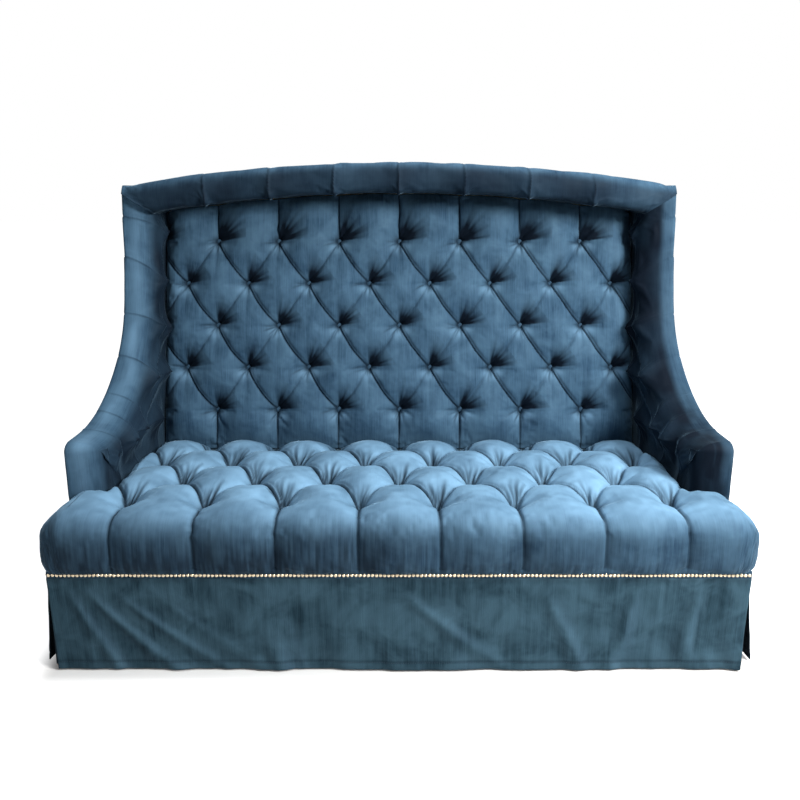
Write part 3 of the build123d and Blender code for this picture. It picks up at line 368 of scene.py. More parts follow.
paleFloor = bpy.data.materials.new("paleFloor")
paleFloor.use_nodes = True
w = Wiring(paleFloor.node_tree)
away = (w.node("ShaderNodeTexCoord", {}), "Object")
for operation, second in (("SUBTRACT", {1: studio["footingCentre"]}), ("ABSOLUTE", {}),
                          ("SUBTRACT", {1: studio["footing"]}), ("MAXIMUM", {1: (0, 0, 0)}), ("LENGTH", {})):
    away = w.node("ShaderNodeVectorMath", {0: away, **second}, operation=operation)  # how far outside the footing
spread = w.node("ShaderNodeMapRange", {  # the floor beside the sofa keeps its shadow, and is white further off
    "Value": (away, "Value"), "From Min": 0.0, "From Max": studio["shadowReach"], "To Min": studio["floorLift"],
    "To Max": 1.0}, interpolation_type="SMOOTHSTEP")
seen = w.sums("MULTIPLY", (w.node("ShaderNodeLightPath", {}), "Is Camera Ray"), spread)
lift = w.node("ShaderNodeEmission", {"Color": (1, 1, 1, 1), "Strength": seen})
diffuse = w.node("ShaderNodeBsdfDiffuse", {"Color": (studio["floorShade"],) * 3 + (1,)})
w.node("ShaderNodeOutputMaterial", {0: w.node("ShaderNodeAddShader", {0: diffuse, 1: lift})})
floorMesh = bpy.data.meshes.new("floor")
edge = studio["floorSize"]
floorMesh.from_pydata([(-edge, -edge, 0), (edge, -edge, 0), (edge, edge, 0), (-edge, edge, 0)], [], [(0, 1, 2, 3)])
floorMesh.materials.append(paleFloor)
newObject("floor", floorMesh)
print("camera, lamps and floor made")

# Materials


class Recipe(Wiring):
    def __init__(self, name):
        self.material = bpy.data.materials.new(name)
        self.material.use_nodes = True
        super().__init__(self.material.node_tree)
        self.surface = self.node("ShaderNodeBsdfPrincipled", {})
        self.node("ShaderNodeOutputMaterial", {"Surface": self.surface})

    def place(self, kind, scale):  # coordinates, stretched
        source = ((self.node("ShaderNodeTexCoord", {}), "Object") if kind == "Object"
                  else self.node("ShaderNodeUVMap", {}, uv_map="cloth"))
        return self.node("ShaderNodeMapping", {"Vector": source, "Scale": scale})

    def noise(self, place, scale, detail, rough, distortion=0.0):
        return self.node("ShaderNodeTexNoise", {"Vector": place, "Scale": scale, "Detail": detail, "Roughness": rough,
                                                "Distortion": distortion})

    def ramp(self, source, *stops):  # stops: (place, colour or grey)
        made = self.node("ShaderNodeValToRGB", {"Fac": source})
        while len(made.color_ramp.elements) < len(stops):
            made.color_ramp.elements.new(0.5)
        for element, (place, colour) in zip(made.color_ramp.elements, stops):
            element.position = place
            element.color = (tuple(colour) if hasattr(colour, "__len__") else (colour,) * 3) + (1,)
        return made

    def blend(self, first, second, factor):  # each colour a tuple or a node and its output
        colours = [value if isinstance(value[0], bpy.types.Node) else tuple(value) + (1,) for value in (first, second)]
        return self.node("ShaderNodeMix", {0: factor, 6: colours[0], 7: colours[1]}, data_type="RGBA"), 2

    def bump(self, source, strength, distance, after=None):
        return self.node("ShaderNodeBump", {"Strength": strength, "Distance": distance, "Height": source,
                                            **({"Normal": after} if after else {})})

    def finish(self, inputs):
        self.feed(self.surface, inputs)
        return self.material


def velvetMaterial(name, cloth):
    m, kind = Recipe(name), cloth["coordinates"]
    flat, grain = m.place(kind, (1, 1, 1)), m.place(kind, cloth["stretch"])
    lines = m.ramp(m.noise(grain, 330, 3.0, 0.62), (0.28, 0.0), (0.72, 1.0))
    bands = m.ramp(m.noise(grain, 75, 2.0, 0.5), (0.3, 0.0), (0.7, 1.0))
    patches = m.ramp(m.noise(flat, 9.5, 3.5, 0.58, 0.45), (0.34, 0.0), (0.68, 1.0))
    paintedHighlight, fold = (m.node("ShaderNodeAttribute", {}, attribute_name=key) for key in ("paintedHighlight", "fold"))
    base = m.blend(cloth["deep"], cloth["mid"], lines)
    worn = m.blend(base, cloth["light"], m.sums("MULTIPLY", patches, cloth["patchShare"]))
    striped = m.blend(worn, m.blend(worn, cloth["light"], 0.45), m.sums("MULTIPLY", bands, cloth["bandShare"]))
    # Painted highlight: the colour is lightened towards a pale blue where the surface says so
    lit = m.blend(striped, cloth["paintedHighlight"], m.sums("MULTIPLY", (paintedHighlight, "Fac"), 0.8))
    pile = m.bump(m.noise(flat, 1500, 2.0, 0.6), 0.35, 0.0004, m.bump(lines, cloth["grainBump"], 0.0006))
    return m.finish({
        # Painted shade: the colour is darkened towards a near-black blue where the surface says so
        "Base Color": m.blend(lit, cloth["fold"], (fold, "Fac")), "Normal": pile, "Specular IOR Level": 0.06,
        "Roughness": m.sums("MULTIPLY_ADD", patches, -0.16, cloth["roughness"]), "Sheen Weight": cloth["sheen"],
        "Sheen Roughness": 0.3, "Sheen Tint": cloth["sheenTint"] + (1,)})


# deep, mid and light are the velvet's own tones; the near-black and the pale blue after them are painted shade and
# painted highlight
velvet = {"coordinates": "UV", "stretch": (1, 0.035, 1), "deep": (0.012, 0.033, 0.066), "mid": (0.036, 0.082, 0.136),
          "light": (0.076, 0.155, 0.235), "fold": (0.0020, 0.0046, 0.0100), "paintedHighlight": (0.25, 0.46, 0.67),
          "patchShare": 0.55, "bandShare": 0.5, "roughness": 0.75, "grainBump": 0.35, "sheen": 0.24,
          "sheenTint": (0.46, 0.75, 1.0)}
velvetCloth = velvetMaterial("velvet", velvet)
velvetTrim = velvetMaterial("velvetTrim", {
    **velvet, "coordinates": "Object", "stretch": (1, 1, 0.05), "deep": (0.008, 0.022, 0.045),
    "mid": (0.022, 0.052, 0.090), "light": (0.05, 0.105, 0.165)})
skirtVelvet = velvetMaterial("skirtVelvet", {
    **velvet, "deep": (0.0035, 0.0115, 0.020), "mid": (0.013, 0.036, 0.053), "light": (0.046, 0.098, 0.136),
    "grainBump": 0.8, "bandShare": 0.9, "patchShare": 0.8, "sheen": 0.1, "sheenTint": (0.45, 0.66, 0.80)})


def wornMaterial(name, look):  # one texture gives the tones, another the wear
    m = Recipe(name)
    place = m.place("Object", look.get("stretch", (1, 1, 1)))
    texture = {"wear": m.noise(place, *look["wear"])}
    if "threads" in look:
        waves = [m.node("ShaderNodeTexWave", {"Vector": place, "Scale": look["threads"], "Distortion": 0.6},
                        wave_type="BANDS", bands_direction=direction) for direction in ("X", look["second"])]
        texture["main"] = m.sums("MULTIPLY", *[(wave, 1) for wave in waves])
    else:
        texture["main"] = m.noise(place, *look["main"])
    worn = m.blend((m.ramp(texture["main"], *look["tones"]), 0), look.get("worn", look["tones"][0][1]),
                   m.sums("MULTIPLY", texture["wear"], look["share"]))
    source, smoothest, roughest = look["rough"]
    return m.finish({"Base Color": worn, "Roughness": m.ramp(texture[source], (0.3, smoothest), (0.7, roughest)),
                     "Normal": m.bump(texture[look["bump"][0]], *look["bump"][1:]), "Metallic": look.get("metal", 0.0)})


def timber(stretch, rings, dark, mid, light):
    return {"stretch": stretch, "main": (rings, 4.0, 0.6, 1.2), "wear": (rings * 14, 2.0, 0.7), "share": 0.35,
            "tones": ((0.3, dark), (0.52, mid), (0.7, light)), "rough": ("wear", 0.5, 0.72),
            "bump": ("wear", 0.25, 0.0006)}


def plain(grain, dark, light, rough, bump, metal=0.0):  # foam, wire, thread and moulded pieces
    return {"main": (grain, 3.0, 0.6), "wear": (grain / 14, 2.0, 0.5), "share": 0.3,
            "tones": ((0.3, dark), (0.7, light)), "rough": ("main", rough - 0.08, rough + 0.08),
            "bump": ("main", bump, 0.0008), "metal": metal}


def woven(threads, second, dark, light):
    return {"threads": threads, "second": second, "wear": (22, 3.0, 0.6), "share": 0.4,
            "tones": ((0.05, dark), (0.6, light)), "rough": ("wear", 0.85, 0.95), "bump": ("main", 0.6, 0.0006)}


jute = ((0.24, 0.17, 0.09), (0.55, 0.43, 0.26))
finish = {name: wornMaterial(name, look) for name, look in {
    "frameTimber": timber((0.9, 9, 9), 5.0, (0.33, 0.20, 0.10), (0.52, 0.35, 0.19), (0.66, 0.48, 0.29)),
    "uprightTimber": timber((9, 9, 0.9), 5.0, (0.30, 0.18, 0.09), (0.48, 0.32, 0.17), (0.62, 0.45, 0.27)),
    "framePlywood": timber((2, 2, 14), 3.0, (0.42, 0.29, 0.16), (0.60, 0.44, 0.27), (0.74, 0.58, 0.39)),
    "foam": plain(260, (0.62, 0.55, 0.36), (0.82, 0.76, 0.55), 0.9, 0.6),
    "springSteel": plain(160, (0.20, 0.20, 0.21), (0.42, 0.42, 0.43), 0.42, 0.1, 1.0),
    "glideNylon": plain(220, (0.05, 0.05, 0.055), (0.09, 0.09, 0.095), 0.5, 0.1),
    "stitchThread": plain(900, (0.010, 0.026, 0.045), (0.03, 0.07, 0.11), 0.7, 0.3),
    "burlap": woven(95, "Y", *jute), "backBurlap": woven(95, "Z", *jute),
    "webbing": woven(140, "Z", (0.30, 0.25, 0.18), (0.66, 0.60, 0.47)),
    "cambric": woven(260, "Y", (0.012, 0.012, 0.013), (0.045, 0.045, 0.048)),
    "nailBrass": {"main": (420, 3.0, 0.6), "wear": (30, 2.0, 0.5), "worn": (0.52, 0.34, 0.18), "share": 0.18,
                  "tones": ((0.3, (0.88, 0.68, 0.44)), (0.7, (1.0, 0.91, 0.72))), "rough": ("wear", 0.22, 0.34),
                  "bump": ("main", 0.08, 0.0004), "metal": 1.0},
}.items()}
print("materials made")

# Seat: the T-shaped pad is unfolded to a flat grid, shaped, and folded over its front and ends

seat = {
    "step": 3.9, "innerStep": 26.0, "clothStep": 9.0, "frontInset": 45.0, "endInset": 57.0, "belowBase": 7.0,
    "frontNose": (25.0, 70.0, 360.0), "endNose": (24.0, 85.0, 354.0),  # overhang, radius, height of the widest part
    "shoulder": 640.0, "crownDrop": 22.0, "rearFall": (0.074, 0.00154), "wall": 42.0, "hollowTop": 398.0,
    "frontFade": ((0.50, 0, 60), (0.12, 60, 190), (0.12, 190, 320)), "gather": 1.6, "fineGather": 1.2, "uneven": 2.2,
    # Further on: the painted highlight on the top, and the painted shade down the front and where it starts
    "fineUneven": 0.8, "armTuck": 16, "rearTuck": 10, "ledgeTuck": 12, "topPaintedHighlight": 0.58, "paintedFrontShade": 0.66,
    "frontShadeFrom": (105, 290),
    "tuft": {"rows": 4, "spacing": sofa["seatRowSpacing"], "phase": 0.5, "crown": 63.0, "rise": 36.0,
             "fullness": 0.70, "wander": 2.5, "bow": -10.0, "dimple": 8.0, "pleat": 6.5, "softPleat": 3.0,
             "topShade": 1.0, "crisp": 6.2, "lapGap": 13.0, "lapShade": 0.45, "softShade": 0.3, "creaseWidth": 3.4,
             "wrinkle": 7.0, "wrinkleReach": 132.0, "jitter": 8.0, "seed": 11, "fanAngles": (35, 145), "fanReach": 30.0,
             "shadeReach": 26.0, "creaseShade": 1.0, "fanDepth": 5.0, "fanShade": 0.7, "paintedHighlight": 0.0,
             "wrinkleAngles": (58, 68, 77, 85, 93, 101, 110, 121)},
    "cloth": {"pressure": 1.6, "growth": 0.010, "frames": 14, "cap": 4.0, "stiffness": 16, "bending": 2.5,
              "gravity": 0.0, "pinReach": 13},
}


def profileCurve(overhang, radius, nose):  # from the flat top out and down to the nail line
    turn = np.linspace(0, math.pi / 2, 40)
    arc = np.stack([overhang - radius + radius * np.sin(turn), sofa["seatCrown"] - radius + radius * np.cos(turn)], 1)
    sweep = np.linspace(0, 1, 24)[1:]
    drop = baseTop - seat["belowBase"] - nose
    low = np.stack([overhang * (1 - sweep ** 2.2), nose + drop * np.sin(sweep * math.pi / 2)], 1)
    curve = np.concatenate([arc, low])
    return curve, runAlong(curve)


def evenSteps(low, high, step):
    return np.linspace(low, high, round((high - low) / step) + 1)


centreX, centreY = halfWidth - seat["endInset"], frontY + seat["frontInset"]
armLine, seatRear = armFront - centreY, frontY + sofa["seatDepth"] - centreY
(frontCurve, frontRun), (endCurve, endRun) = profileCurve(*seat["frontNose"]), profileCurve(*seat["endNose"])


def seatSurface(a, b):  # where a point of the unfolded seat lies
    over = np.clip(np.abs(a) - centreX, 0, None) / endRun[-1]
    ahead = np.clip(-b, 0, None) / frontRun[-1]
    away = np.maximum(over, ahead)
    safe = np.maximum(away, 1e-9)
    turn = np.where(ahead >= over, 1 - 0.5 * over / safe, 0.5 * ahead / safe)
    turn = np.where((over <= 0) & (ahead > 0), 1.0, np.where((ahead <= 0) & (over > 0), 0.0, turn))
    outward, height = (np.interp(away * frontRun[-1], frontRun, frontCurve[:, axis]) * turn
                       + np.interp(away * endRun[-1], endRun, endCurve[:, axis]) * (1 - turn) for axis in (0, 1))
    spread = outward + seat["frontInset"] * turn + seat["endInset"] * (1 - turn)
    angle = turn * math.pi / 2
    x = np.sign(a) * (np.minimum(np.abs(a), centreX) + spread * np.cos(angle) * (over > 0))
    y = centreY + np.maximum(b, 0) - spread * np.sin(angle) * (ahead > 0)
    height = np.where(away > 0, height, frontCurve[0, 1])
    depth = np.clip(y - centreY, 0, None)
    shoulder = seat["shoulder"] - seat["frontInset"]
    past = np.clip(depth - shoulder, 0, None)
    drop = seat["crownDrop"] * np.minimum(depth / shoulder, 1) ** 2
    drop += past * seat["rearFall"][0] + past ** 2 * seat["rearFall"][1]
    return np.stack([x, y, height - drop * (height - baseTop) / (sofa["seatCrown"] - baseTop)], -1)


def seatGrid(step):  # grid lines fall on the inside of the arms and on their fronts
    outer, inner = evenSteps(armInner, centreX + endRun[-1], step), evenSteps(-armInner, armInner, step)
    low, high = evenSteps(-frontRun[-1], armLine, step), evenSteps(armLine, seatRear, step)
    columns, rows = np.concatenate([-outer[::-1], inner[1:-1], outer]), np.concatenate([low, high[1:]])
    side, ledge, last, width = len(outer) - 1, len(low) - 1, len(rows) - 1, len(columns) - 1
    b, a = np.meshgrid(rows, columns, indexing="ij")
    keep = np.ones((last, width), bool)
    keep[ledge:, :side] = keep[ledge:, -side:] = False
    return a, b, keep, [(0, 0), (0, width), (ledge, width), (ledge, width - side), (last, width - side), (last, side),
                        (ledge, side), (ledge, 0)]


def makeSeat():
    a, b, keep, corners = seatGrid(seat["step"])
    shape = seatSurface(a, b)
    lattice = b + seat["frontInset"] - sofa["seatFirstRow"]
    height, fold, reach, _ = tuftedHeight(a, lattice, seat["tuft"])
    # In front of the first row the pleats get shallower down to the nail line
    toNail, over = np.clip(-lattice, 0, None), np.clip(np.abs(a) - centreX, 0, None)
    lastRow = lattice - 3 * seat["tuft"]["spacing"]
    shallow = 1 - sum(share * ease(toNail, low, high) for share, low, high in seat["frontFade"])
    shallow *= (1 - 0.9 * ease(over, 0, 120)) * (1 - 0.35 * ease(lastRow, 0, 60))
    depth = (seat["tuft"]["crown"] - height) * shallow
    # Small gathers under the nails, and uneven filling
    nearNail = ease(toNail, 235, 318) * (1 - 0.5 * ease(over, 60, 200))
    gathers = seat["gather"] * np.abs(noise(a, b * 0.1, 13, 31)) + seat["fineGather"] * noise(a, b * 0.2, 30, 32)
    depth += nearNail * gathers
    depth += seat["uneven"] * noise(a, b, 60, 33) + seat["fineUneven"] * noise(a, b, 17, 34)
    # The edges tuck in by the arms and under the back
    behindArm = ease(b, armLine - 12, armLine + 12)
    depth += behindArm * seat["armTuck"] * ease(np.abs(a), armInner - 22, armInner)
    depth += seat["rearTuck"] * ease(b, seatRear - 26, seatRear)
    beforeArm = (1 - behindArm) * ease(b, armLine - 22, armLine)
    depth += seat["ledgeTuck"] * beforeArm * ease(np.abs(a), armInner + 4, armInner + 30)
    depth *= 1 - ease(toNail - toNail.max(), -24, 0)
    surface = shape - gridNormals(shape) * depth[..., None]
    ca, cb, coarseKeep, _ = seatGrid(seat["clothStep"])
    up = np.interp(cb[:, 0], b[:, 0], np.arange(len(b))).round().astype(int)
    across = np.interp(ca[0], a[0], np.arange(a.shape[1])).round().astype(int)
    outside = (np.abs(ca) >= armInner - 1) & (cb >= armLine - 1)
    held = outside | (reach[up][:, across] < seat["cloth"]["pinReach"])
    held[[0, -1], :] = held[:, [0, -1]] = True
    moved = relaxCloth(surface[up][:, across], coarseKeep, held, seat["cloth"])
    moved[outside] = 0
    surface = surface + resample(moved, *surface.shape[:2])
    innerA, innerB, innerKeep, innerCorners = seatGrid(seat["innerStep"])
    inside = seatSurface(innerA, innerB)
    wall, top = seat["wall"], seat["hollowTop"]
    inside[..., 0] = np.clip(inside[..., 0], wall - halfWidth, halfWidth - wall)
    inside[..., 1] = np.maximum(inside[..., 1], frontY + wall)
    flat = (innerB >= -40) & (np.abs(innerA) <= centreX + 40)
    inside[..., 2] = np.where(flat, top, np.minimum(inside[..., 2], top))
    # Painted highlight on the top, and painted shade down the front
    onTop = (1 - ease(toNail, 60, 235)) * (1 - ease(over, 60, 150)) * (1 - 0.6 * ease(lastRow, 10, 70))
    paintedHighlight = onTop * (seat["topPaintedHighlight"] + 0.22 * noise(a, b, 75, 37) + 0.12 * noise(a, b, 24, 38)).clip(0, 1)
    paintedFrontShade = seat["paintedFrontShade"] + 0.18 * noise(a, b, 90, 35) + 0.26 * noise(a, b * 0.1, 7, 36)
    paintedFrontShade = paintedFrontShade * ease(toNail, *seat["frontShadeFrom"]) * (1 - 0.45 * ease(a, -300, 700))
    paintedFrontShade = paintedFrontShade.clip(0, 0.8) * (1 - ease(over, 150, 230))
    fold = np.maximum(fold * np.clip(1.7 * shallow, 0.4, 1), paintedFrontShade)
    piece = closedShell("seatCover", surface, inside, np.stack([a, b], -1), fold, paintedHighlight, (keep, innerKeep),
                        (corners, innerCorners))
    declare(piece, "velvet", ["seat_cover"], velvetCloth, fill=0.9)


makeSeat()
print("seat made")

# Inside back: a padded grid on the reclined plane of its buttons

back = {
    "step": 3.6, "innerStep": 30.0, "clothStep": 8.0, "bottomHeight": 400.0, "tuckHeight": 428.0, "backing": 13.0,
    "edgeRound": 95.0, "sideRound": 42.0, "edgeTuck": 5, "sideTuck": 7, "uneven": 1.8, "fineUneven": 0.7,
    "tuft": {"rows": 5, "spacing": sofa["backRowSpacing"], "phase": 0.0, "crown": 42.0, "rise": 27.0,
             "fullness": 0.72, "wander": 1.6, "bow": 9.0, "dimple": 8.0, "pleat": 4.6, "softPleat": 1.4,
             "topShade": 1.35, "crisp": 2.9, "lapGap": 10.0, "lapShade": 0.8, "softShade": 0.2, "creaseWidth": 2.6,
             "wrinkle": 3.2, "wrinkleReach": 64.0, "jitter": 18.0, "seed": 23, "fanAngles": (3, 96), "fanReach": 42.0,
             "shadeReach": 61.0, "creaseShade": 0.6, "fanDepth": 10.0, "fanShade": 0.98, "paintedHighlight": 0.38,
             "wrinkleAngles": (0, 28, 48, 66, 84, 180, 200, 240, 258, 272, 288)},
    "cloth": {"pressure": 1.6, "growth": 0.015, "frames": 14, "cap": 5.0, "stiffness": 16, "bending": 1.0,
              "gravity": 0.0, "pinReach": 13},
}


def backPoint(x, v, out):  # a point of the inside back: along, up its slope, and out of it
    return np.stack([x, sofa["lowButtonY"] + v * math.sin(recline) - out * math.cos(recline),
                     sofa["backRowHeight"] + v * math.cos(recline) + out * math.sin(recline)], -1)


def upSlope(z):  # how far up the slope a height lies
    return (z - sofa["backRowHeight"]) / math.cos(recline)


def backGrid(step):
    low, x = upSlope(back["bottomHeight"]), evenSteps(-armInner, armInner, step)
    top = upSlope(archHeight(x, sofa["rollHeight"])) - 6
    share = np.linspace(0, 1, round((top.max() - low) / step) + 1)
    return np.broadcast_to(x, (len(share), len(x))), low + share[:, None] * (top - low)[None]


def makeBack():
    x, v = backGrid(back["step"])
    height, fold, reach, paintedHighlight = tuftedHeight(x, v, back["tuft"])
    lip, tuck = upSlope(sofa["lipHeight"]), upSlope(back["tuckHeight"])
    full = 0.12 + 0.88 * np.sin(np.clip((v - tuck) / back["edgeRound"], 0, 1) * math.pi / 2)
    full *= 0.35 + 0.65 * np.sin(np.clip((lip - v) / back["edgeRound"], 0, 1) * math.pi / 2)
    height = height * full - back["edgeTuck"] * (1 - ease(v, tuck - 22, tuck + 6))
    height += back["uneven"] * noise(x, v, 64, 41) + back["fineUneven"] * noise(x, v, 16, 42)
    side = armInner - np.abs(x)
    height = height * (0.1 + 0.9 * np.clip(side / back["sideRound"], 0, 1) ** 0.55)
    height -= back["sideTuck"] * (1 - ease(side, 0, 16))
    surface = settle(backPoint(x, v, height), reach, backGrid(back["clothStep"])[0].shape, back["cloth"])
    ix, iv = backGrid(back["innerStep"])
    inside = backPoint(ix, iv, np.full(ix.shape, -back["backing"]))
    piece = closedShell("backCover", surface, inside, np.stack([x, v], -1), fold, paintedHighlight)
    declare(piece, "velvet", ["back_cover"], velvetCloth, fill=0.85)


makeBack()
print("inside back made")

# Wings and arms: the cover is swept along the scooped edge, over the roll and down the inside face

wing = {
    "step": 3.8, "innerStep": 24.0, "corner": 11.0, "round": 60.0, "innerCorner": 6.0, "seam": 60.0, "innerSeam": 8.0,
    "corePad": 48.0, "edgePad": 56.0, "dimple": 30.0, "lowDimple": 6, "pleat": 11.0, "crease": 4.2, "puff": 5.0,
    # This line and the next set the painted shade on each inside and on the right arm front, and the painted highlight
    # on the left roll
    "napFromRight": (-114.0, -70.0), "napRight": 1.0, "napFromLeft": (-64.0, -6.0), "napLeft": 0.9, "armFlare": 7.0,
    "seed": 37, "armShadeShare": 0.82, "bend": 9.0, "faceBend": 7, "drift": 4, "paintedHighlightLeft": 0.34, "paintedHighlightRight": 0.0,
    "creaseWidth": 3.2, "faceValley": 27, "edgeValley": 20, "dimpleWidth": 34, "shadeWidth": 20, "seamDip": 4,
    "uneven": 0.7, "fineUneven": 0.3,
    "tufts": ((85.5, .95), (80.5, .60), (66.5, .60), (44.5, .60), (23.0, .96), (13.6, .76), (2.6, .75),
              (67.2, 1.34), (52.7, 1.72), (36.8, 2.0)),  # degrees along the scoop, share of the wing's thickness
    "pleats": ((0, 1), (1, 7), (7, 2), (7, 3), (3, 8), (8, 4), (4, 9), (4, 5)),
    "edgePleats": ((0, 87.0), (1, 83.0), (2, 71.0), (3, 51.0), (4, 31.0), (5, 20.0), (6, 5.0)),
    "longPleats": ((0, (330.0, 1180.0)), (1, (310.0, 960.0)), (7, (330.0, 780.0)), (8, (310.0, 600.0)),
                   (9, (175.0, 430.0)), (5, (-10.0, 430.0)), (6, (-190.0, 430.0)), (0, (300.0, 1330.0))),
    "star": {"seed": 37, "buttons": 10, "width": 3.0, "length": 34.0, "depth": 2.2, "start": (6, 16)},
    "cloth": {"pressure": 1.2, "growth": 0.008, "frames": 14, "cap": 3.0, "stiffness": 20, "bending": 1.5,
              "gravity": 0.0, "pinReach": 13},
}
knee, lowRadius = math.radians(sofa["scoopTurn"]), sofa["scoopRadius"]
scoopY, scoopZ = armFront + sofa["armFlat"], sofa["armHeight"] + lowRadius
upperRadius = (wingTop - scoopZ + lowRadius * math.cos(knee)) / math.cos(knee)
upperY = scoopY - (upperRadius - lowRadius) * math.sin(knee)
mitreLow = archHeight(armInner, sofa["rollHeight"])
mitreRise = (wingTop - sofa["rollWall"] - mitreLow) / sofa["wingThickness"]


def scoopPoint(turn, inset):  # a point of the scooped edge where it has turned by so many degrees
    low = np.asarray(turn) <= sofa["scoopTurn"]
    radius, angle = np.where(low, lowRadius, upperRadius) + inset, np.radians(turn)
    y = np.where(low, scoopY, upperY) + radius * np.sin(angle)
    return y, np.where(low, scoopZ, wingTop) - radius * np.cos(angle)


def wingOutline(step):  # the outer edge from the arm's foot to the wing's top, with its inward normal
    corner, level = sofa["armCorner"], sofa["armHeight"]
    turn = np.linspace(math.pi, math.pi / 2, 24)
    line = np.concatenate([
        np.stack([np.full(40, armFront), np.linspace(baseTop, level - corner, 40)], 1),
        np.stack([armFront + corner + corner * np.cos(turn), level - corner + corner * np.sin(turn)], 1)[1:],
        np.stack([np.linspace(armFront + corner, scoopY, 20), np.full(20, level)], 1)[1:],
        np.stack(scoopPoint(np.linspace(0, 90, 260)[1:], 0.0), 1)])
    line, at = evenly(line, step)
    slope = np.gradient(line, axis=0)
    slope /= np.linalg.norm(slope, axis=1, keepdims=True)
    return line, np.stack([slope[:, 1], -slope[:, 0]], 1), at


def wingSection(corner, rounding, outerX, innerX, seam, step):  # seam, tight corner, broad round to the inside face
    turn = np.linspace(0, math.pi / 2, 24)
    wide = outerX - corner - innerX
    curve, at = evenly(np.concatenate([
        np.stack([np.full(3, outerX), np.linspace(seam, corner, 3)], 1)[:-1],
        np.stack([outerX - corner + corner * np.cos(turn), corner - corner * np.sin(turn)], 1),
        np.stack([innerX + wide * (1 - np.sin(turn)), rounding * (1 - np.cos(turn))], 1)[1:]]), step)
    return curve[:, 0], curve[:, 1], at - at[-1]


def wingBase(share):  # where the inside face ends, behind the seat and behind the back
    places = np.array([(0.0, armFront + 150.0, 318.0), (0.20, armFront + 190.0, 380.0), (0.34, armFront + 330.0, 400.0),
                       (0.62, 300.0, 400.0), (1.0, backFrameY(wingTop, 45.0), wingTop)])
    return np.stack([np.interp(share, places[:, 0], places[:, axis]) for axis in (1, 2)], 1)


def besideLine(py, pz, start, end):  # distance from a pleat's line, signed, and from its ends, and the share along it
    (ay, az), (by, bz) = start, end
    length = math.hypot(by - ay, bz - az)
    dy, dz = (by - ay) / length, (bz - az) / length
    along, aside = (py - ay) * dy + (pz - az) * dz, (pz - az) * dy - (py - ay) * dz
    beyond = np.where(along < 0, -along, np.where(along > length, along - length, 0))
    return aside, np.hypot(aside, beyond) - np.abs(aside), np.clip(along / length, 0, 1)


def mitreHeight(x):  # the mitre where a wing meets the top roll
    return mitreLow + mitreRise * (np.asarray(x) - armInner)


def wingGrid(step, corner, rounding, outerX, innerX, edgeInset, seam):
    line, inward, at = wingOutline(step)
    sectionX, sectionInset, sectionRun = wingSection(corner, rounding, outerX, innerX, seam, step)
    rim = line[:, None] + inward[:, None] * (sectionInset + edgeInset)[None, :, None]
    base = wingBase(at / at[-1])
    reach = np.linalg.norm(base - rim[:, -1], axis=1)
    share = np.linspace(0, 1, round(reach.mean() / step) + 1)[1:]
    face = rim[:, -1:] * (1 - share[None, :, None]) + base[:, None] * share[None, :, None]
    plan = np.concatenate([rim, face], 1)
    onRim = (len(at), len(sectionX))
    x = np.concatenate([np.broadcast_to(sectionX, onRim), np.full(face.shape[:2], innerX)], 1)
    past = np.concatenate([np.broadcast_to(sectionRun, onRim), share[None] * reach[:, None]], 1)
    # The bottom sits level on the base, and the top is cut along the mitre
    z = np.minimum(np.maximum(plan[..., 1], baseTop), mitreHeight(x) - 1.0)
    return np.stack([x, plan[..., 0], z], -1), past, np.broadcast_to(at[:, None], past.shape)


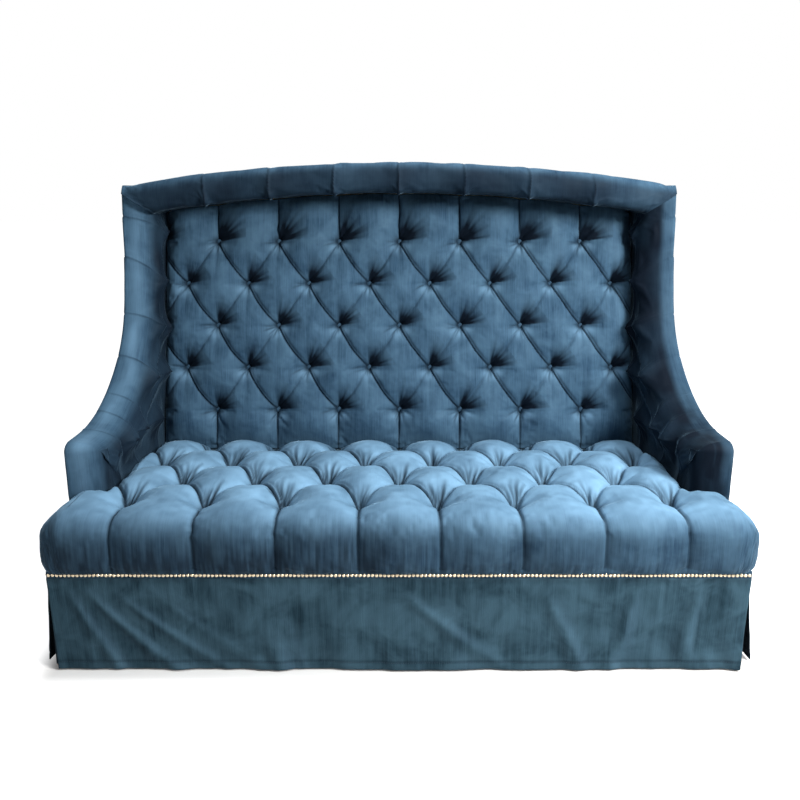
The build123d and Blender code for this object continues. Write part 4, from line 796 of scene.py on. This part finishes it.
def makeWing(side, sign):
    points, past, at = wingGrid(wing["step"], wing["corner"], wing["round"], halfWidth, armInner, 0.0, wing["seam"])
    y, z = points[..., 1], points[..., 2]
    tufts = [scoopPoint(turn, share * sofa["wingThickness"]) for turn, share in wing["tufts"]]
    line, _, run = wingOutline(wing["step"])
    onFace, seed = ease(past, -50, 10), wing["seed"]
    onEdge = ease(60 - past, -20, 40)
    drift = wing["drift"] * noise(y, z, 80, seed)
    depth, fold, valley = (np.zeros(y.shape) for _ in range(3))
    lines = [(tufts[i], tufts[j], 1.0) for i, j in wing["pleats"]]
    for start, end, strength in lines + [(tufts[i], end, 0.45) for i, end in wing["longPleats"]]:
        aside, beyond, share = besideLine(y, z, start, end)
        near = np.hypot(beyond, aside + (wing["faceBend"] + drift) * np.sin(np.pi * share))
        valley = np.maximum(valley, strength * ridge(near, wing["faceValley"]) ** 0.8 * onFace)
        crease = ridge(near, wing["creaseWidth"]) * onFace * strength
        depth += wing["crease"] * crease
        fold = np.maximum(fold, crease)
    for place, turn in wing["edgePleats"]:  # from the buttons out over the roll
        fromRun, toRun = (run[np.argmin((line[:, 0] - py) ** 2 + (line[:, 1] - pz) ** 2)]
                          for py, pz in (scoopPoint(wing["tufts"][place][0], 0.0), scoopPoint(turn, 0.0)))
        outerPast = float(past[0, np.argmin(np.abs(points[0, :, 0] - halfWidth + 4))])
        start = (fromRun, wing["tufts"][place][1] * sofa["wingThickness"] - wing["round"])
        aside, beyond, share = besideLine(at, past, start, (toRun, outerPast))
        near = np.hypot(beyond, aside + (drift - wing["bend"]) * np.sin(np.pi * share))
        fade = 1 - 0.9 * ease(share, 0.15, 0.85)
        valley = np.maximum(valley, ridge(near, wing["edgeValley"]) ** 0.8 * fade ** 2 * onEdge)
        crease = ridge(near, wing["creaseWidth"]) * (0.35 + 0.65 * fade) * onEdge
        depth += wing["crease"] * (crease + 0.4 * ridge(near - 10, 3.4) * fade * onEdge * (aside > 0))
        fold = np.maximum(fold, 0.75 * crease)
    depth += wing["pleat"] * valley
    nearest, heading, which = np.full(y.shape, 1e9), np.zeros(y.shape), np.zeros(y.shape, int)
    for place, (tuftY, tuftZ) in enumerate(tufts):
        away = np.hypot(y - tuftY, z - tuftZ)
        closer = away < nearest
        nearest, which = np.where(closer, away, nearest), np.where(closer, place, which)
        heading = np.where(closer, np.arctan2(z - tuftZ, y - tuftY), heading)
    dimple = wing["dimple"] * np.where(which == wing["lowDimple"], 0.3, 1.0)
    depth += (dimple - wing["pleat"] * valley) * ridge(nearest, wing["dimpleWidth"], 1.6) * onFace
    depth += starWrinkles(nearest, heading, which, wing["star"]) * onFace
    depth -= wing["puff"] * (1 - valley) * ease(past, -60, 40) * 0.4
    uneven = wing["uneven"] * noise(at, past, 90, seed + 2) + wing["fineUneven"] * noise(at, past, 22, seed + 3)
    depth += uneven * ease(past, -110, 0)
    fold = np.maximum(fold, ridge(nearest, wing["shadeWidth"]) * onFace)
    turned = ease(past, *wing["napFrom" + side])  # painted shade over the inside, which is turned from the light
    turned = turned * (0.93 + 0.14 * noise(at, past, 90, seed + 5)) * wing["nap" + side]
    if side == "Right":  # its arm front gets painted shade as well, but for the outer edge
        onArm = (1 - 0.6 * ease(at, 420, 760)) * (0.62 + 0.38 * ease(past, -128, -90))
        turned = np.maximum(turned, wing["armShadeShare"] * onArm * (1.05 + 0.25 * noise(at * 0.4, past, 22, 91)))
    fold = np.maximum(fold, turned.clip(0, 0.985))
    # Painted highlight in a band along the roll
    paintedHighlight = ridge(past + 88, 24) * wing["paintedHighlight" + side] * (0.8 + 0.5 * noise(at * 0.5, past, 55, 93)) * (1 - fold)
    # The foot and the hidden edges stay as cut
    depth = depth * ease(z, baseTop, baseTop + 14) + wing["seamDip"] * ridge(past - past.min(), 7)
    surface = points - gridNormals(points) * depth[..., None]
    surface = settle(surface, nearest, (len(y) // 2, y.shape[1] // 2), wing["cloth"], (0, 1, -1))
    low = 1 - ease(surface[..., 2], 650, 900)
    surface[..., 0] += wing["armFlare"] * low * ease(surface[..., 0], 925, 1000)
    surface[..., 2] = np.minimum(surface[..., 2], mitreHeight(surface[..., 0]) - 0.5)
    corner = wing["innerCorner"]
    inside, _, _ = wingGrid(wing["innerStep"], corner, corner, halfWidth - 6.0, armInner + wing["corePad"],
                            wing["edgePad"], wing["innerSeam"])
    inside[..., 2] = np.minimum(inside[..., 2], mitreHeight(inside[..., 0]) - 2.0)
    for part in (surface, inside):
        part[..., 0] *= sign
    parts = surface, inside, np.stack([past, at], -1), fold, paintedHighlight
    if sign < 0:
        parts = (part[:, ::-1] for part in parts)
    piece = closedShell(f"armCover{side}", *parts)
    declare(piece, "velvet", [f"arm_cover_{side.lower()}"], velvetCloth, fill=0.85)


makeWing("Right", 1)
makeWing("Left", -1)
print("wings made")

# Top roll: its section follows the arch, mitred onto the wings, with seven gathered pleats

hood = {
    "step": 3.8, "innerStep": 26.0, "front": 235.84, "round": 52.0, "pleat": 9.0, "crease": 4.2, "dimple": 11.0,
    "rearUnder": 413.0, "rearBow": 22.0, "buttonRise": 16.0, "seed": 53, "drift": 3, "creaseWidth": 3.4,
    "dimpleWidth": 14, "shadeWidth": 16, "uneven": 0.9, "fineUneven": 0.4, "endDip": 3.5, "endDraw": 9,
    "frontShade": 0.76, "lowShade": 0.16,
    "star": {"seed": 53, "buttons": 12, "width": 2.6, "length": 30.0, "depth": 2.6, "start": (5, 12)},
    "cloth": {"pressure": 1.1, "growth": 0.008, "frames": 14, "cap": 3.0, "stiffness": 20, "bending": 1.5,
              "gravity": 0.0, "pinReach": 10},
}


def hoodGrid(step, offset, rear):  # the section goes from the rear over the roll and back under
    front, radius = hood["front"] + offset, hood["round"] - offset * 0.8
    height = sofa["rollHeight"] - offset
    turn = np.linspace(0, math.pi / 2, 26)
    section, run = evenly(np.concatenate([
        np.stack([np.linspace(rear, front + radius, 60), np.full(60, offset)], 1),
        np.stack([front + radius - radius * np.sin(turn), offset + radius - radius * np.cos(turn)], 1)[1:],
        np.stack([front + radius - radius * np.cos(turn), height - radius + radius * np.sin(turn)], 1),
        np.stack([np.linspace(front + radius, hood["rearUnder"], 30), np.full(30, height)], 1)[1:]]), step)
    y, below = section[:, 0], section[:, 1]
    reach = np.full(len(y), halfWidth)
    for _ in range(12):  # where each line of the section meets the mitre
        reach = np.clip(armInner + (archHeight(reach, below) - mitreLow) / mitreRise, armInner, halfWidth)
    x = np.linspace(-1, 1, round(2 * halfWidth / step) + 1)[None] * reach[:, None]
    under = ease(y, 330, hood["rearUnder"]) * (below > 60)
    y = y[:, None] + hood["rearBow"] * (1 - (x / armInner) ** 2).clip(0) * under[:, None]
    return np.stack([x, y, archHeight(x, below[:, None])], -1), np.broadcast_to(run[:, None], x.shape), below


def makeHood():
    points, run, below = hoodGrid(hood["step"], 0.0, rearY)
    x, y, seed = points[..., 0], points[:, 0, 1], hood["seed"]
    off = (x + hood["drift"] * noise(x, run, 60, seed) + 0.5 * pitch) % pitch - 0.5 * pitch
    topEdge = run[np.argmin(np.abs(y - hood["front"] - 40) + 1e3 * (below > 50)), 0]
    buttonBelow = sofa["rollHeight"] - hood["buttonRise"]
    atButton = run[np.argmin(np.abs(below - buttonBelow) + 1e3 * (y > hood["front"] + 60)), 0]
    inner = 1 - ease(np.abs(x), 3.25 * pitch, 3.5 * pitch)
    pleated = ease(run, topEdge + 4, topEdge + 66) * (1 - 0.85 * ease(run, atButton + 6, atButton + 46)) * inner
    sharp = ridge(off, hood["creaseWidth"]) * pleated
    away, heading = np.hypot(off, run - atButton), np.arctan2(run - atButton, off)
    depth = hood["pleat"] * (1 - np.abs(np.sin(np.pi * off / pitch)) ** 0.8) * pleated + hood["crease"] * sharp
    depth += hood["dimple"] * ridge(away, hood["dimpleWidth"]) * inner
    which = np.clip(np.round(x / pitch).astype(int) + 5, 0, 11)
    depth += starWrinkles(away, heading, which, hood["star"]) * inner
    uneven = hood["uneven"] * noise(x, run, 90, seed + 2) + hood["fineUneven"] * noise(x, run, 22, seed + 3)
    ends = points[:, -1, 0][:, None] - np.abs(x)
    depth += uneven * ease(run, topEdge, topEdge + 60) + hood["endDip"] * ridge(ends, 6)
    # Painted shade on the lower front of the roll and below its buttons
    lowFrontShade = ease(run, topEdge + 8, topEdge + 56) * (hood["frontShade"] + 0.12 * noise(x, run, 90, seed + 7))
    lowFrontShade += hood["lowShade"] * ease(run, atButton - 8, atButton + 34)
    # Painted shade in the pleat lines, at the buttons and on the lower front
    fold = np.maximum.reduce([sharp, ridge(away, hood["shadeWidth"]) * inner, lowFrontShade]).clip(0, 1)
    surface = points - gridNormals(points) * depth[..., None]
    surface[..., 0] -= np.sign(x) * hood["endDraw"] * ease(-ends, -90, 0) * ease(-points[..., 1], -300, -240)
    surface = settle(surface, away, (len(x) // 2, x.shape[1] // 2), hood["cloth"])
    inside, _, _ = hoodGrid(hood["innerStep"], sofa["rollWall"], backFrameY(1455.0, 0.0) + 4)
    piece = closedShell("hoodCover", surface, inside, np.stack([x, run], -1), fold)
    declare(piece, "velvet", ["hood_cover"], velvetCloth, fill=0.8)


makeHood()
print("top roll made")

# Outside arms and outside back: smooth velvet panels, drawn tight over the frame

outside = {"step": 9.0, "crown": 3.0, "seamInset": 58.0, "faceInset": 3.5, "innerInset": 5.2, "backTop": 29.8}


def finishPanel(name, surface, inside, uv, node):
    fold = np.zeros(surface.shape[:2])
    # Painted shade along the panel's edges
    fold[[0, 1, -2, -1], :] = fold[:, [0, 1, -2, -1]] = 0.6
    declare(closedShell(name, surface, inside, uv, fold), "velvet", [node], velvetCloth, fill=0.3)


def makeOutsideArm(side, sign):
    line, inward, at = wingOutline(outside["step"])
    rim = line + inward * outside["seamInset"]
    total = at / at[-1]
    rear = np.stack([np.interp(total, (0.0, 0.46, 1.0), places) for places in (
        (rim[0, 0] + 2, backFrameY(baseTop, 1.0), backFrameY(wingTop, 1.0)), (baseTop, baseTop, wingTop))], 1)
    share = np.linspace(0, 1, 70)
    plan = rim[:, None] * (1 - share[None, :, None]) + rear[:, None] * share[None, :, None]
    plan[..., 1] = np.clip(plan[..., 1], baseTop, mitreHeight(halfWidth) - 0.3)
    edge = np.minimum(np.minimum(share, 1 - share)[None] * 12, np.minimum(total, 1 - total)[:, None] * 20)
    puff = outside["crown"] * np.clip(edge, 0, 1) ** 0.6
    puff = puff + 0.5 * noise(plan[..., 0], plan[..., 1], 70, 71)
    surface = np.stack([sign * (halfWidth - outside["faceInset"] + puff), plan[..., 0], plan[..., 1]], -1)
    inside = resample(surface, 18, 10)
    inside[..., 0] = sign * (halfWidth - outside["innerInset"])
    parts = surface, inside, plan
    if sign > 0:
        parts = (part[::-1] for part in parts)
    finishPanel(f"outsideArm{side}", *parts, f"outside_arm_{side.lower()}")


def outsideBackGrid(rows, columns):
    x, share = np.linspace(0.5 - halfWidth, halfWidth - 0.5, columns), np.linspace(0, 1, rows)
    top = archHeight(x, outside["backTop"])
    return np.broadcast_to(x, (rows, columns)), baseTop + share[:, None] * (top - baseTop)[None]


def makeOutsideBack():
    x, z = outsideBackGrid(130, 225)
    edge = np.minimum(halfWidth - np.abs(x), np.minimum(z - z[0], z[-1] - z)) / 70
    puff = outside["crown"] * np.clip(edge, 0, 1) ** 0.6 + 0.6 * noise(x, z, 90, 72)
    surface = np.stack([x, backFrameY(z, 2.0) + puff, z], -1)
    innerX, innerZ = outsideBackGrid(12, 20)
    inside = np.stack([innerX, backFrameY(innerZ, outside["innerInset"]), innerZ], -1)
    finishPanel("outsideBack", surface[::-1], inside[::-1], np.stack([x, z], -1)[::-1], "outside_back")


makeOutsideArm("Right", 1)
makeOutsideArm("Left", -1)
makeOutsideBack()
print("outside panels made")

# Skirts: four hanging sheets, nailed at the top, hemmed at the bottom

skirt = {
    "step": 9.0, "top": 291.0, "hem": 7.0, "thickness": 3.2, "hemDepth": 24.0, "floorGap": 4.0, "seed": 61,
    "slant": 0.35, "wave": 8.5, "ruffle": 0.9, "standTop": 1.0, "standLow": 4.0, "hemLift": 0.8, "stitchWidth": 3.5,
    "stitchPull": 1.0, "uneven": 0.8,
    "cloth": {"pressure": 0.0, "growth": 0.012, "frames": 24, "cap": 3.5, "stiffness": 8, "bending": 0.25,
              "gravity": 1.0},
    "drapes": ((45, 185, 5.5, 24), (90, 350, 7.5, 26), (160, 500, 6.0, 29), (270, 610, 3.0, 32), (990, 1330, 5.0, 34),
               (1420, 1560, 3.5, 26), (1700, 1640, 3.5, 24), (1880, 1830, 3.5, 22)),  # top, bottom, rise, breadth
}
hemLines = {}


def makeSkirt(name, node, start, end, outward, folds, drawIn, flare, flat, drapes=()):
    # start and end are the top corners, seen from outside from left to right; drawIn and flare are for each of them
    start, end, outward = np.array(start), np.array(end), np.array(outward)
    width, total = np.linalg.norm(end - start), skirt["top"] - skirt["hem"]
    along = (end - start) / width
    columns, rows = round(width / skirt["step"]) + 1, round(total / skirt["step"]) + 1
    share, down = np.meshgrid(np.linspace(0, 1, columns), np.linspace(0, 1, rows))
    fall, run, seed = down * total, share * width, skirt["seed"] + folds
    slant = run - fall * skirt["slant"]
    wave = noise(slant, fall * 0.15 + 40, width / (2.2 * folds), seed)
    wave = wave + 0.45 * noise(slant * 1.2 + 300, fall * 0.2, width / (5 * folds), seed + 1)
    push = down ** 1.15 * (skirt["wave"] * wave + skirt["wave"])
    push += skirt["ruffle"] * noise(run, fall * 0.12, 11, seed + 2) * ease(40 - fall, 0, 40)
    push += flare[0] * down * (1 - share) + flare[1] * down * share
    for top, bottom, rise, breadth in drapes:  # long soft folds that run from the nails down to the hem
        line = top + (bottom - top) * down ** 1.25
        push += rise * ridge(run - line, breadth * (0.45 + 0.8 * down)) * ease(down, 0.02, 0.4)
    slope = np.gradient(push, axis=1) / (width / (columns - 1))  # flanks turned from the lamp get painted shade
    inset = down * (drawIn[0] * (1 - share) - drawIn[1] * share)
    points = np.zeros(share.shape + (3,))
    points[..., :2] = start + along * (run + inset)[..., None] + outward * (push + skirt["standTop"])[..., None]
    points[..., 2] = skirt["top"] - fall
    held = np.zeros(share.shape, bool)
    held[0] = True
    moved = relaxCloth(points, np.ones((rows - 1, columns - 1), bool), held, skirt["cloth"])
    moved[..., 2] *= 0.3
    points = points + moved
    stand = points[..., :2] @ outward - start @ outward
    least = skirt["standTop"] + skirt["standLow"] * down  # the cloth stands off the rail, more so at the hem
    points[..., :2] += outward * np.maximum(least - stand, 0)[..., None]
    counts = rows * 2 - 1, columns * 2 - 1
    fine = resample(points, *counts)
    fall, run, slope = (resampleFlat(values, *counts) for values in (fall, run, slope))
    normals = gridNormals(fine)
    facing = np.sign((normals[..., :2] @ outward).mean())
    normals = normals * facing
    hem = ease(fall, total - skirt["hemDepth"] - 2, total - skirt["hemDepth"] + 2)
    stitch = ridge(fall - total + skirt["hemDepth"], skirt["stitchWidth"])
    lift = skirt["hemLift"] * hem - skirt["stitchPull"] * stitch + 0.35 * stitch * noise(run, fall, 9, seed + 5)
    lift += skirt["uneven"] * noise(run, fall, 34, seed + 6)
    fine = fine + normals * lift[..., None]
    fine[..., 2] = np.maximum(fine[..., 2], skirt["floorGap"])
    seamRow = np.argmin(np.abs(fall[:, 0] - total + skirt["hemDepth"]))
    hemLines[name] = (fine + normals * 0.4)[seamRow, 3:-3]
    # Painted shade along the hem stitch, near the top and on flanks turned from the lamp, and painted highlight on
    # flanks facing it
    fold = (stitch * 0.5 + 0.25 * (1 - ease(fall, 0, 26)) + 1.1 * slope.clip(0)).clip(0, 0.8)
    paintedHighlight = (-0.5 * slope).clip(0, 0.2)
    parts = fine, fine - normals * skirt["thickness"], np.stack([run, total - fall], -1), fold, paintedHighlight
    order = slice(None) if facing > 0 else slice(None, None, -1)
    piece = closedShell(name, *(part[order] for part in parts))
    declare(piece, "skirt_velvet", [node], skirtVelvet, flat=flat, held="hung", rests_on=["tack_strip"])


railFront, railBack = frontY + 5.0, baseBack - 5.0
makeSkirt("skirtFront", "skirt_front", (-halfWidth, frontY), (halfWidth, frontY), (0, -1), 7, (15, 15), (0, 0),
          (2.03, 0.29), skirt["drapes"])
makeSkirt("skirtBack", "skirt_back", (halfWidth, baseBack), (-halfWidth, baseBack), (0, 1), 7, (15, 15), (0, 0),
          (2.03, 0.29))
makeSkirt("skirtRight", "skirt_right", (halfWidth, railFront), (halfWidth, railBack), (1, 0), 4, (30, 0), (30, 0),
          (0.90, 0.29))
makeSkirt("skirtLeft", "skirt_left", (-halfWidth, railBack), (-halfWidth, railFront), (-1, 0), 4, (0, 30), (0, 30),
          (0.90, 0.29))

openCorner = {"inset": 3.2, "reach": 105.0, "bend": 2.0, "topGap": 4, "drop": 272, "wave": 0.3, "thickness": 1.0,
              "seed": 83}


def makeCornerLining(name, signX, signY):  # cloth that hangs behind the open corner of two skirts, made dark with painted shade
    inset, bend, drop = openCorner["inset"], openCorner["bend"], openCorner["drop"]
    cornerX, cornerY = halfWidth - inset, (frontY + inset if signY < 0 else baseBack - inset)
    turn, straight = np.linspace(0, math.pi / 2, 7)[1:-1], np.linspace(openCorner["reach"], bend, 14)
    path = np.concatenate([np.stack([-straight, np.zeros(14)], 1),
                           np.stack([bend * np.sin(turn), bend * np.cos(turn)], 1) - bend,
                           np.stack([np.zeros(14), -straight[::-1]], 1)])
    run, down = runAlong(path), np.linspace(0, 1, 24)[:, None]
    ripple = noise(run[None] + 50, down * 60, 34, openCorner["seed"] + signX + 2 * signY)
    wave = openCorner["wave"] * (ripple + 1).clip(0) * down
    away = path + bend
    away /= np.linalg.norm(away, axis=1, keepdims=True)
    plan = path[None] + away[None] * wave[..., None]
    outer = np.stack([signX * (cornerX + plan[..., 0]), cornerY + signY * plan[..., 1],
                      np.broadcast_to(skirt["top"] - openCorner["topGap"] - down * drop, wave.shape)], -1)
    through = np.stack([signX * away[:, 0], signY * away[:, 1], 0 * away[:, 0]], -1) * openCorner["thickness"]
    parts = outer, outer - through, np.stack(np.broadcast_arrays(run, down * drop), -1)
    order = slice(None) if signX * signY > 0 else slice(None, None, -1)
    # Painted shade over the whole lining
    piece = closedShell(name, *(part[order] for part in parts), np.full(wave.shape, 0.8))
    declare(piece, "skirt_velvet", material=skirtVelvet, flat=(float(run[-1]) / 1000, drop / 1000), held="hung",
            rests_on=["tack_strip"])


for name, signX, signY in (("cornerFrontRight", 1, -1), ("cornerFrontLeft", -1, -1), ("cornerBackRight", 1, 1),
                           ("cornerBackLeft", -1, 1)):
    makeCornerLining(name, signX, signY)
print("skirts made")

# Buttons, nails and stitches: Geometry Nodes set one shape on every place


def repeatTree(name, along):
    tree = bpy.data.node_groups.new(name, "GeometryNodeTree")
    sockets = {}
    for kind, labels in (("Geometry", ["Geometry"]), ("Float", ["Radius", "Dome", "Length", "Spacing", "Uneven"]),
                         ("Int", ["Segments", "Rings", "Seed"]), ("Material", ["Finish"])):
        for label in labels:
            made = tree.interface.new_socket(name=label, in_out="INPUT", socket_type="NodeSocket" + kind)
            sockets[label] = made.identifier
    tree.interface.new_socket(name="Geometry", in_out="OUTPUT", socket_type="NodeSocketGeometry")
    w = Wiring(tree)
    given = w.node("NodeGroupInput", {})
    ball = w.node("GeometryNodeMeshUVSphere", {"Segments": (given, "Segments"), "Rings": (given, "Rings"),
                                               "Radius": 1.0})
    depth = {"Y": (given, "Dome"), "Z": (given, "Length")} if along else {"Y": (given, "Radius"), "Z": (given, "Dome")}
    size = w.node("ShaderNodeCombineXYZ", {"X": (given, "Radius"), **depth})
    shape = w.node("GeometryNodeTransform", {"Geometry": (ball, "Mesh"), "Scale": size})
    smooth = w.node("GeometryNodeSetShadeSmooth", {"Geometry": shape})
    vary = w.node("FunctionNodeRandomValue", {"Min": w.sums("SUBTRACT", 1.0, (given, "Uneven")),
                                              "Max": w.sums("ADD", 1.0, (given, "Uneven")), "Seed": (given, "Seed")})
    if along:  # stitches lie along a line of the cloth
        curve = w.node("GeometryNodeMeshToCurve", {"Mesh": (given, "Geometry")})
        spread = w.node("GeometryNodeCurveToPoints", {"Curve": (curve, "Curve"), "Length": (given, "Spacing")},
                        mode="LENGTH")
        places = {"Points": (spread, "Points"), "Rotation": (spread, "Rotation")}
    else:  # heads stand on points that carry their own turn
        turned = w.node("GeometryNodeInputNamedAttribute", {"Name": "turn"}, data_type="FLOAT_VECTOR")
        places = {"Points": (given, "Geometry"), "Rotation": (turned, "Attribute")}
    placed = w.node("GeometryNodeInstanceOnPoints", {**places, "Instance": smooth, "Scale": (vary, "Value")})
    real = w.node("GeometryNodeRealizeInstances", {"Geometry": placed})
    w.node("NodeGroupOutput", {0: w.node("GeometryNodeSetMaterial", {"Geometry": real, "Material": (given, "Finish")})})
    return tree, sockets


headTree = repeatTree("headsOnPoints", False)
stitchTree = repeatTree("stitchesAlongLine", True)


def repeated(name, treeAndSockets, points, turn, sizes, material, slotName, replaced=(), edges=()):
    tree, sockets = treeAndSockets
    mesh = bpy.data.meshes.new(name + "Places")
    mesh.from_pydata((np.asarray(points) * 0.001).tolist(), list(edges), [])
    if turn is not None:
        turns = np.tile(turn, len(points)).astype(np.float32)
        mesh.attributes.new("turn", "FLOAT_VECTOR", "POINT").data.foreach_set("vector", turns)
    holder = newObject(name + "Places", mesh)
    modifier = holder.modifiers.new("repeat", "NODES")
    modifier.node_group = tree
    for label, value in {**sizes, "Finish": material}.items():
        modifier[sockets[label]] = value
    made = bpy.data.meshes.new_from_object(holder.evaluated_get(bpy.context.evaluated_depsgraph_get()))
    made.name = name
    bpy.data.objects.remove(holder)
    bpy.data.meshes.remove(mesh)
    declare(newObject(name, made), slotName, replaced)


buttons = {"Radius": 0.0108, "Dome": 0.0068, "Segments": 28, "Rings": 14, "Uneven": 0.03, "Seed": 3}
hoodButtons = {**buttons, "Radius": 0.0082, "Dome": 0.0052}
sunk = {"seat": 6.5, "back": 7.5, "wingX": 946.0, "hood": 23.0}  # how deep the buttons sit, and where in X and Y
nails = {"Radius": 0.0055, "Dome": 0.0038, "Segments": 10, "Rings": 6, "Uneven": 0.035, "Seed": 7}
nailRow = {"pitch": 11.75, "drift": 0.5, "seed": 91}
stitches = {"Radius": 0.0005, "Dome": 0.0004, "Length": 0.0017, "Spacing": 0.007, "Segments": 6, "Rings": 4,
            "Uneven": 0.15, "Seed": 5}


def latticePlaces(counts):  # X and row of each button, for rows with so many buttons
    places = [((place - (count - 1) / 2) * pitch, row) for row, count in enumerate(counts) for place in range(count)]
    return np.array(places).T


def setButtons(name, node, points, turn, sizes=buttons):
    repeated(name, headTree, points, turn, sizes, velvetTrim, "velvet", [node])


x, row = latticePlaces((8, 7, 8, 7))
y = frontY + sofa["seatFirstRow"] + row * sofa["seatRowSpacing"]
setButtons("seatButtons", "seat_buttons", np.stack([x, y, 0 * x + sofa["seatButton"] - sunk["seat"]], 1), (0, 0, 0))
x, row = latticePlaces((7, 8, 7, 8, 7))
setButtons("backButtons", "back_buttons", backPoint(x, row * sofa["backRowSpacing"], -sunk["back"]),
           (math.pi / 2 - recline, 0, 0))
for side, sign in (("Right", 1), ("Left", -1)):
    spots = [scoopPoint(turn, share * sofa["wingThickness"]) for turn, share in wing["tufts"]]
    setButtons(f"armButtons{side}", f"arm_buttons_{side.lower()}",
               [(sign * sunk["wingX"], float(y), float(z)) for y, z in spots], (0, -sign * math.pi / 2, 0))
x = np.arange(-3, 4) * pitch
z = archHeight(x, sofa["rollHeight"]) + hood["buttonRise"]
setButtons("hoodButtons", "hood_buttons", np.stack([x, 0 * x + hood["front"] + sunk["hood"], z], 1),
           (math.pi / 2, 0, 0), hoodButtons)

for name, node, start, end, sign in (("nailsFront", "nails_front", -halfWidth, halfWidth, 0),
                                     ("nailsLeft", "nails_left", frontY, baseBack, -1),
                                     ("nailsRight", "nails_right", frontY, baseBack, 1)):
    count = int((end - start) / nailRow["pitch"])
    row = (start + end - (count - 1) * nailRow["pitch"]) / 2 + nailRow["pitch"] * np.arange(count)
    height = sofa["nailHeight"] + nailRow["drift"] * noise(row, row * 0 + len(name), 9, nailRow["seed"])
    x, y = (sign * halfWidth, row) if sign else (row, frontY)
    turn = (0, sign * math.pi / 2, 0) if sign else (math.pi / 2, 0, 0)
    repeated(name, headTree, np.stack(np.broadcast_arrays(x, y, height), 1), turn, nails, finish["nailBrass"],
             "nail_brass", [node])
for name, line in hemLines.items():
    repeated(name.replace("skirt", "hemStitches"), stitchTree, line, None, stitches, finish["stitchThread"],
             "skirt_velvet", edges=[(i, i + 1) for i in range(len(line) - 1)])
print("buttons, nails and stitches set")

# Linings inside and underneath: jute over the springs and webbing, cambric under the base

linings = {"step": 30.0, "thickness": 1.6, "cambricHalf": 1007, "cambricHeight": 168.4, "cambricSag": -1.2,
           "seatFront": 40, "seatRear": 32, "seatHeight": 317.8, "backLow": 400.0, "backInset": 45.0}


def makeLining(name, node, corner, across, upward, sag, weave, slotName, rests):
    corner, across, upward = (np.array(v, float) for v in (corner, across, upward))
    wide, tall = np.linalg.norm(across), np.linalg.norm(upward)
    columns, rows = round(wide / linings["step"]) + 1, round(tall / linings["step"]) + 1
    u, v = np.meshgrid(np.linspace(0, 1, columns), np.linspace(0, 1, rows))
    normal = np.cross(across, upward) / (wide * tall)
    dip = sag * (np.sin(np.pi * u) * np.sin(np.pi * v)) ** 0.5
    outer = corner + u[..., None] * across + v[..., None] * upward + normal * dip[..., None]
    piece = closedShell(name, outer, outer - normal * linings["thickness"], np.stack([u * wide, v * tall], -1), 0 * u)
    declare(piece, slotName, [node], finish[weave], flat=(wide / 1000, tall / 1000), held="stretched", rests_on=rests)


half, seatFront, low = linings["cambricHalf"], railFront + linings["seatFront"], linings["backLow"]
makeLining("dustCover", "dust_cover", (half, railFront, linings["cambricHeight"]), (-2 * half, 0, 0),
           (0, railBack - railFront, 0), linings["cambricSag"], "cambric", "cambric", ["front_rail", "back_rail"])
makeLining("seatBurlap", "seat_burlap", (-armInner, seatFront, linings["seatHeight"]), (2 * armInner, 0, 0),
           (0, railBack - linings["seatRear"] - seatFront, 0), 0.0, "burlap", "burlap", ["seat_springs"])
high = float(archHeight(armInner, sofa["rollHeight"]))
lowY, highY = backFrameY(low, linings["backInset"]), backFrameY(high, linings["backInset"])
makeLining("backBurlap", "back_burlap", (-armInner, lowY, low), (2 * armInner, 0, 0), (0, highY - lowY, high - low),
           0.0, "backBurlap", "burlap", ["back_webbing"])

foamEdges = {"seatFoam": 5.0, "backFoam": 3.0, "hoodFoam": 4.0, "armFoamLeft": 4.0, "armFoamRight": 4.0}


def cadName(name):
    return "".join("_" + letter.lower() if letter.isupper() else letter for letter in name)


def makeFoam(name, node, radius):  # the cut foam, its edges rounded
    mesh = cadNodes[node].data.copy()
    mesh.name = name
    work = bmesh.new()
    work.from_mesh(mesh)
    bmesh.ops.remove_doubles(work, verts=work.verts, dist=0.00002)
    bmesh.ops.dissolve_limit(work, angle_limit=math.radians(2), verts=work.verts, edges=work.edges)
    sharp = [e for e in work.edges if len(e.link_faces) == 2 and e.calc_face_angle(0) > math.radians(35)]
    bmesh.ops.bevel(work, geom=sharp, offset=radius * 0.001, segments=2, affect="EDGES", clamp_overlap=True)
    bmesh.ops.triangulate(work, faces=work.faces)
    work.to_mesh(mesh)
    work.free()
    mesh.materials.clear()
    declare(newObject(name, mesh), "foam", [node], finish["foam"], fill=1.0)


for name, radius in foamEdges.items():
    makeFoam(name, cadName(name), radius)
print("linings and foam made")

# CAD nodes that stay, each with the finish of its own slot

slotFinish = {**{cadName(name): material for name, material in finish.items()}, "skirt_velvet": skirtVelvet}
for node, piece in cadNodes.items():
    slotName = piece.data.materials[0].name.split(".")[0] if piece.data.materials else "velvet"
    material = slotFinish.get(slotName, velvetTrim)
    if slotName == "frame_timber" and node.startswith(("back_post", "back_upright", "foot")):
        material = finish["uprightTimber"]
    if node == "tack_strip":
        material = velvetTrim
    piece.data.materials.clear()
    piece.data.materials.append(material)
print("finishes given to the CAD nodes")
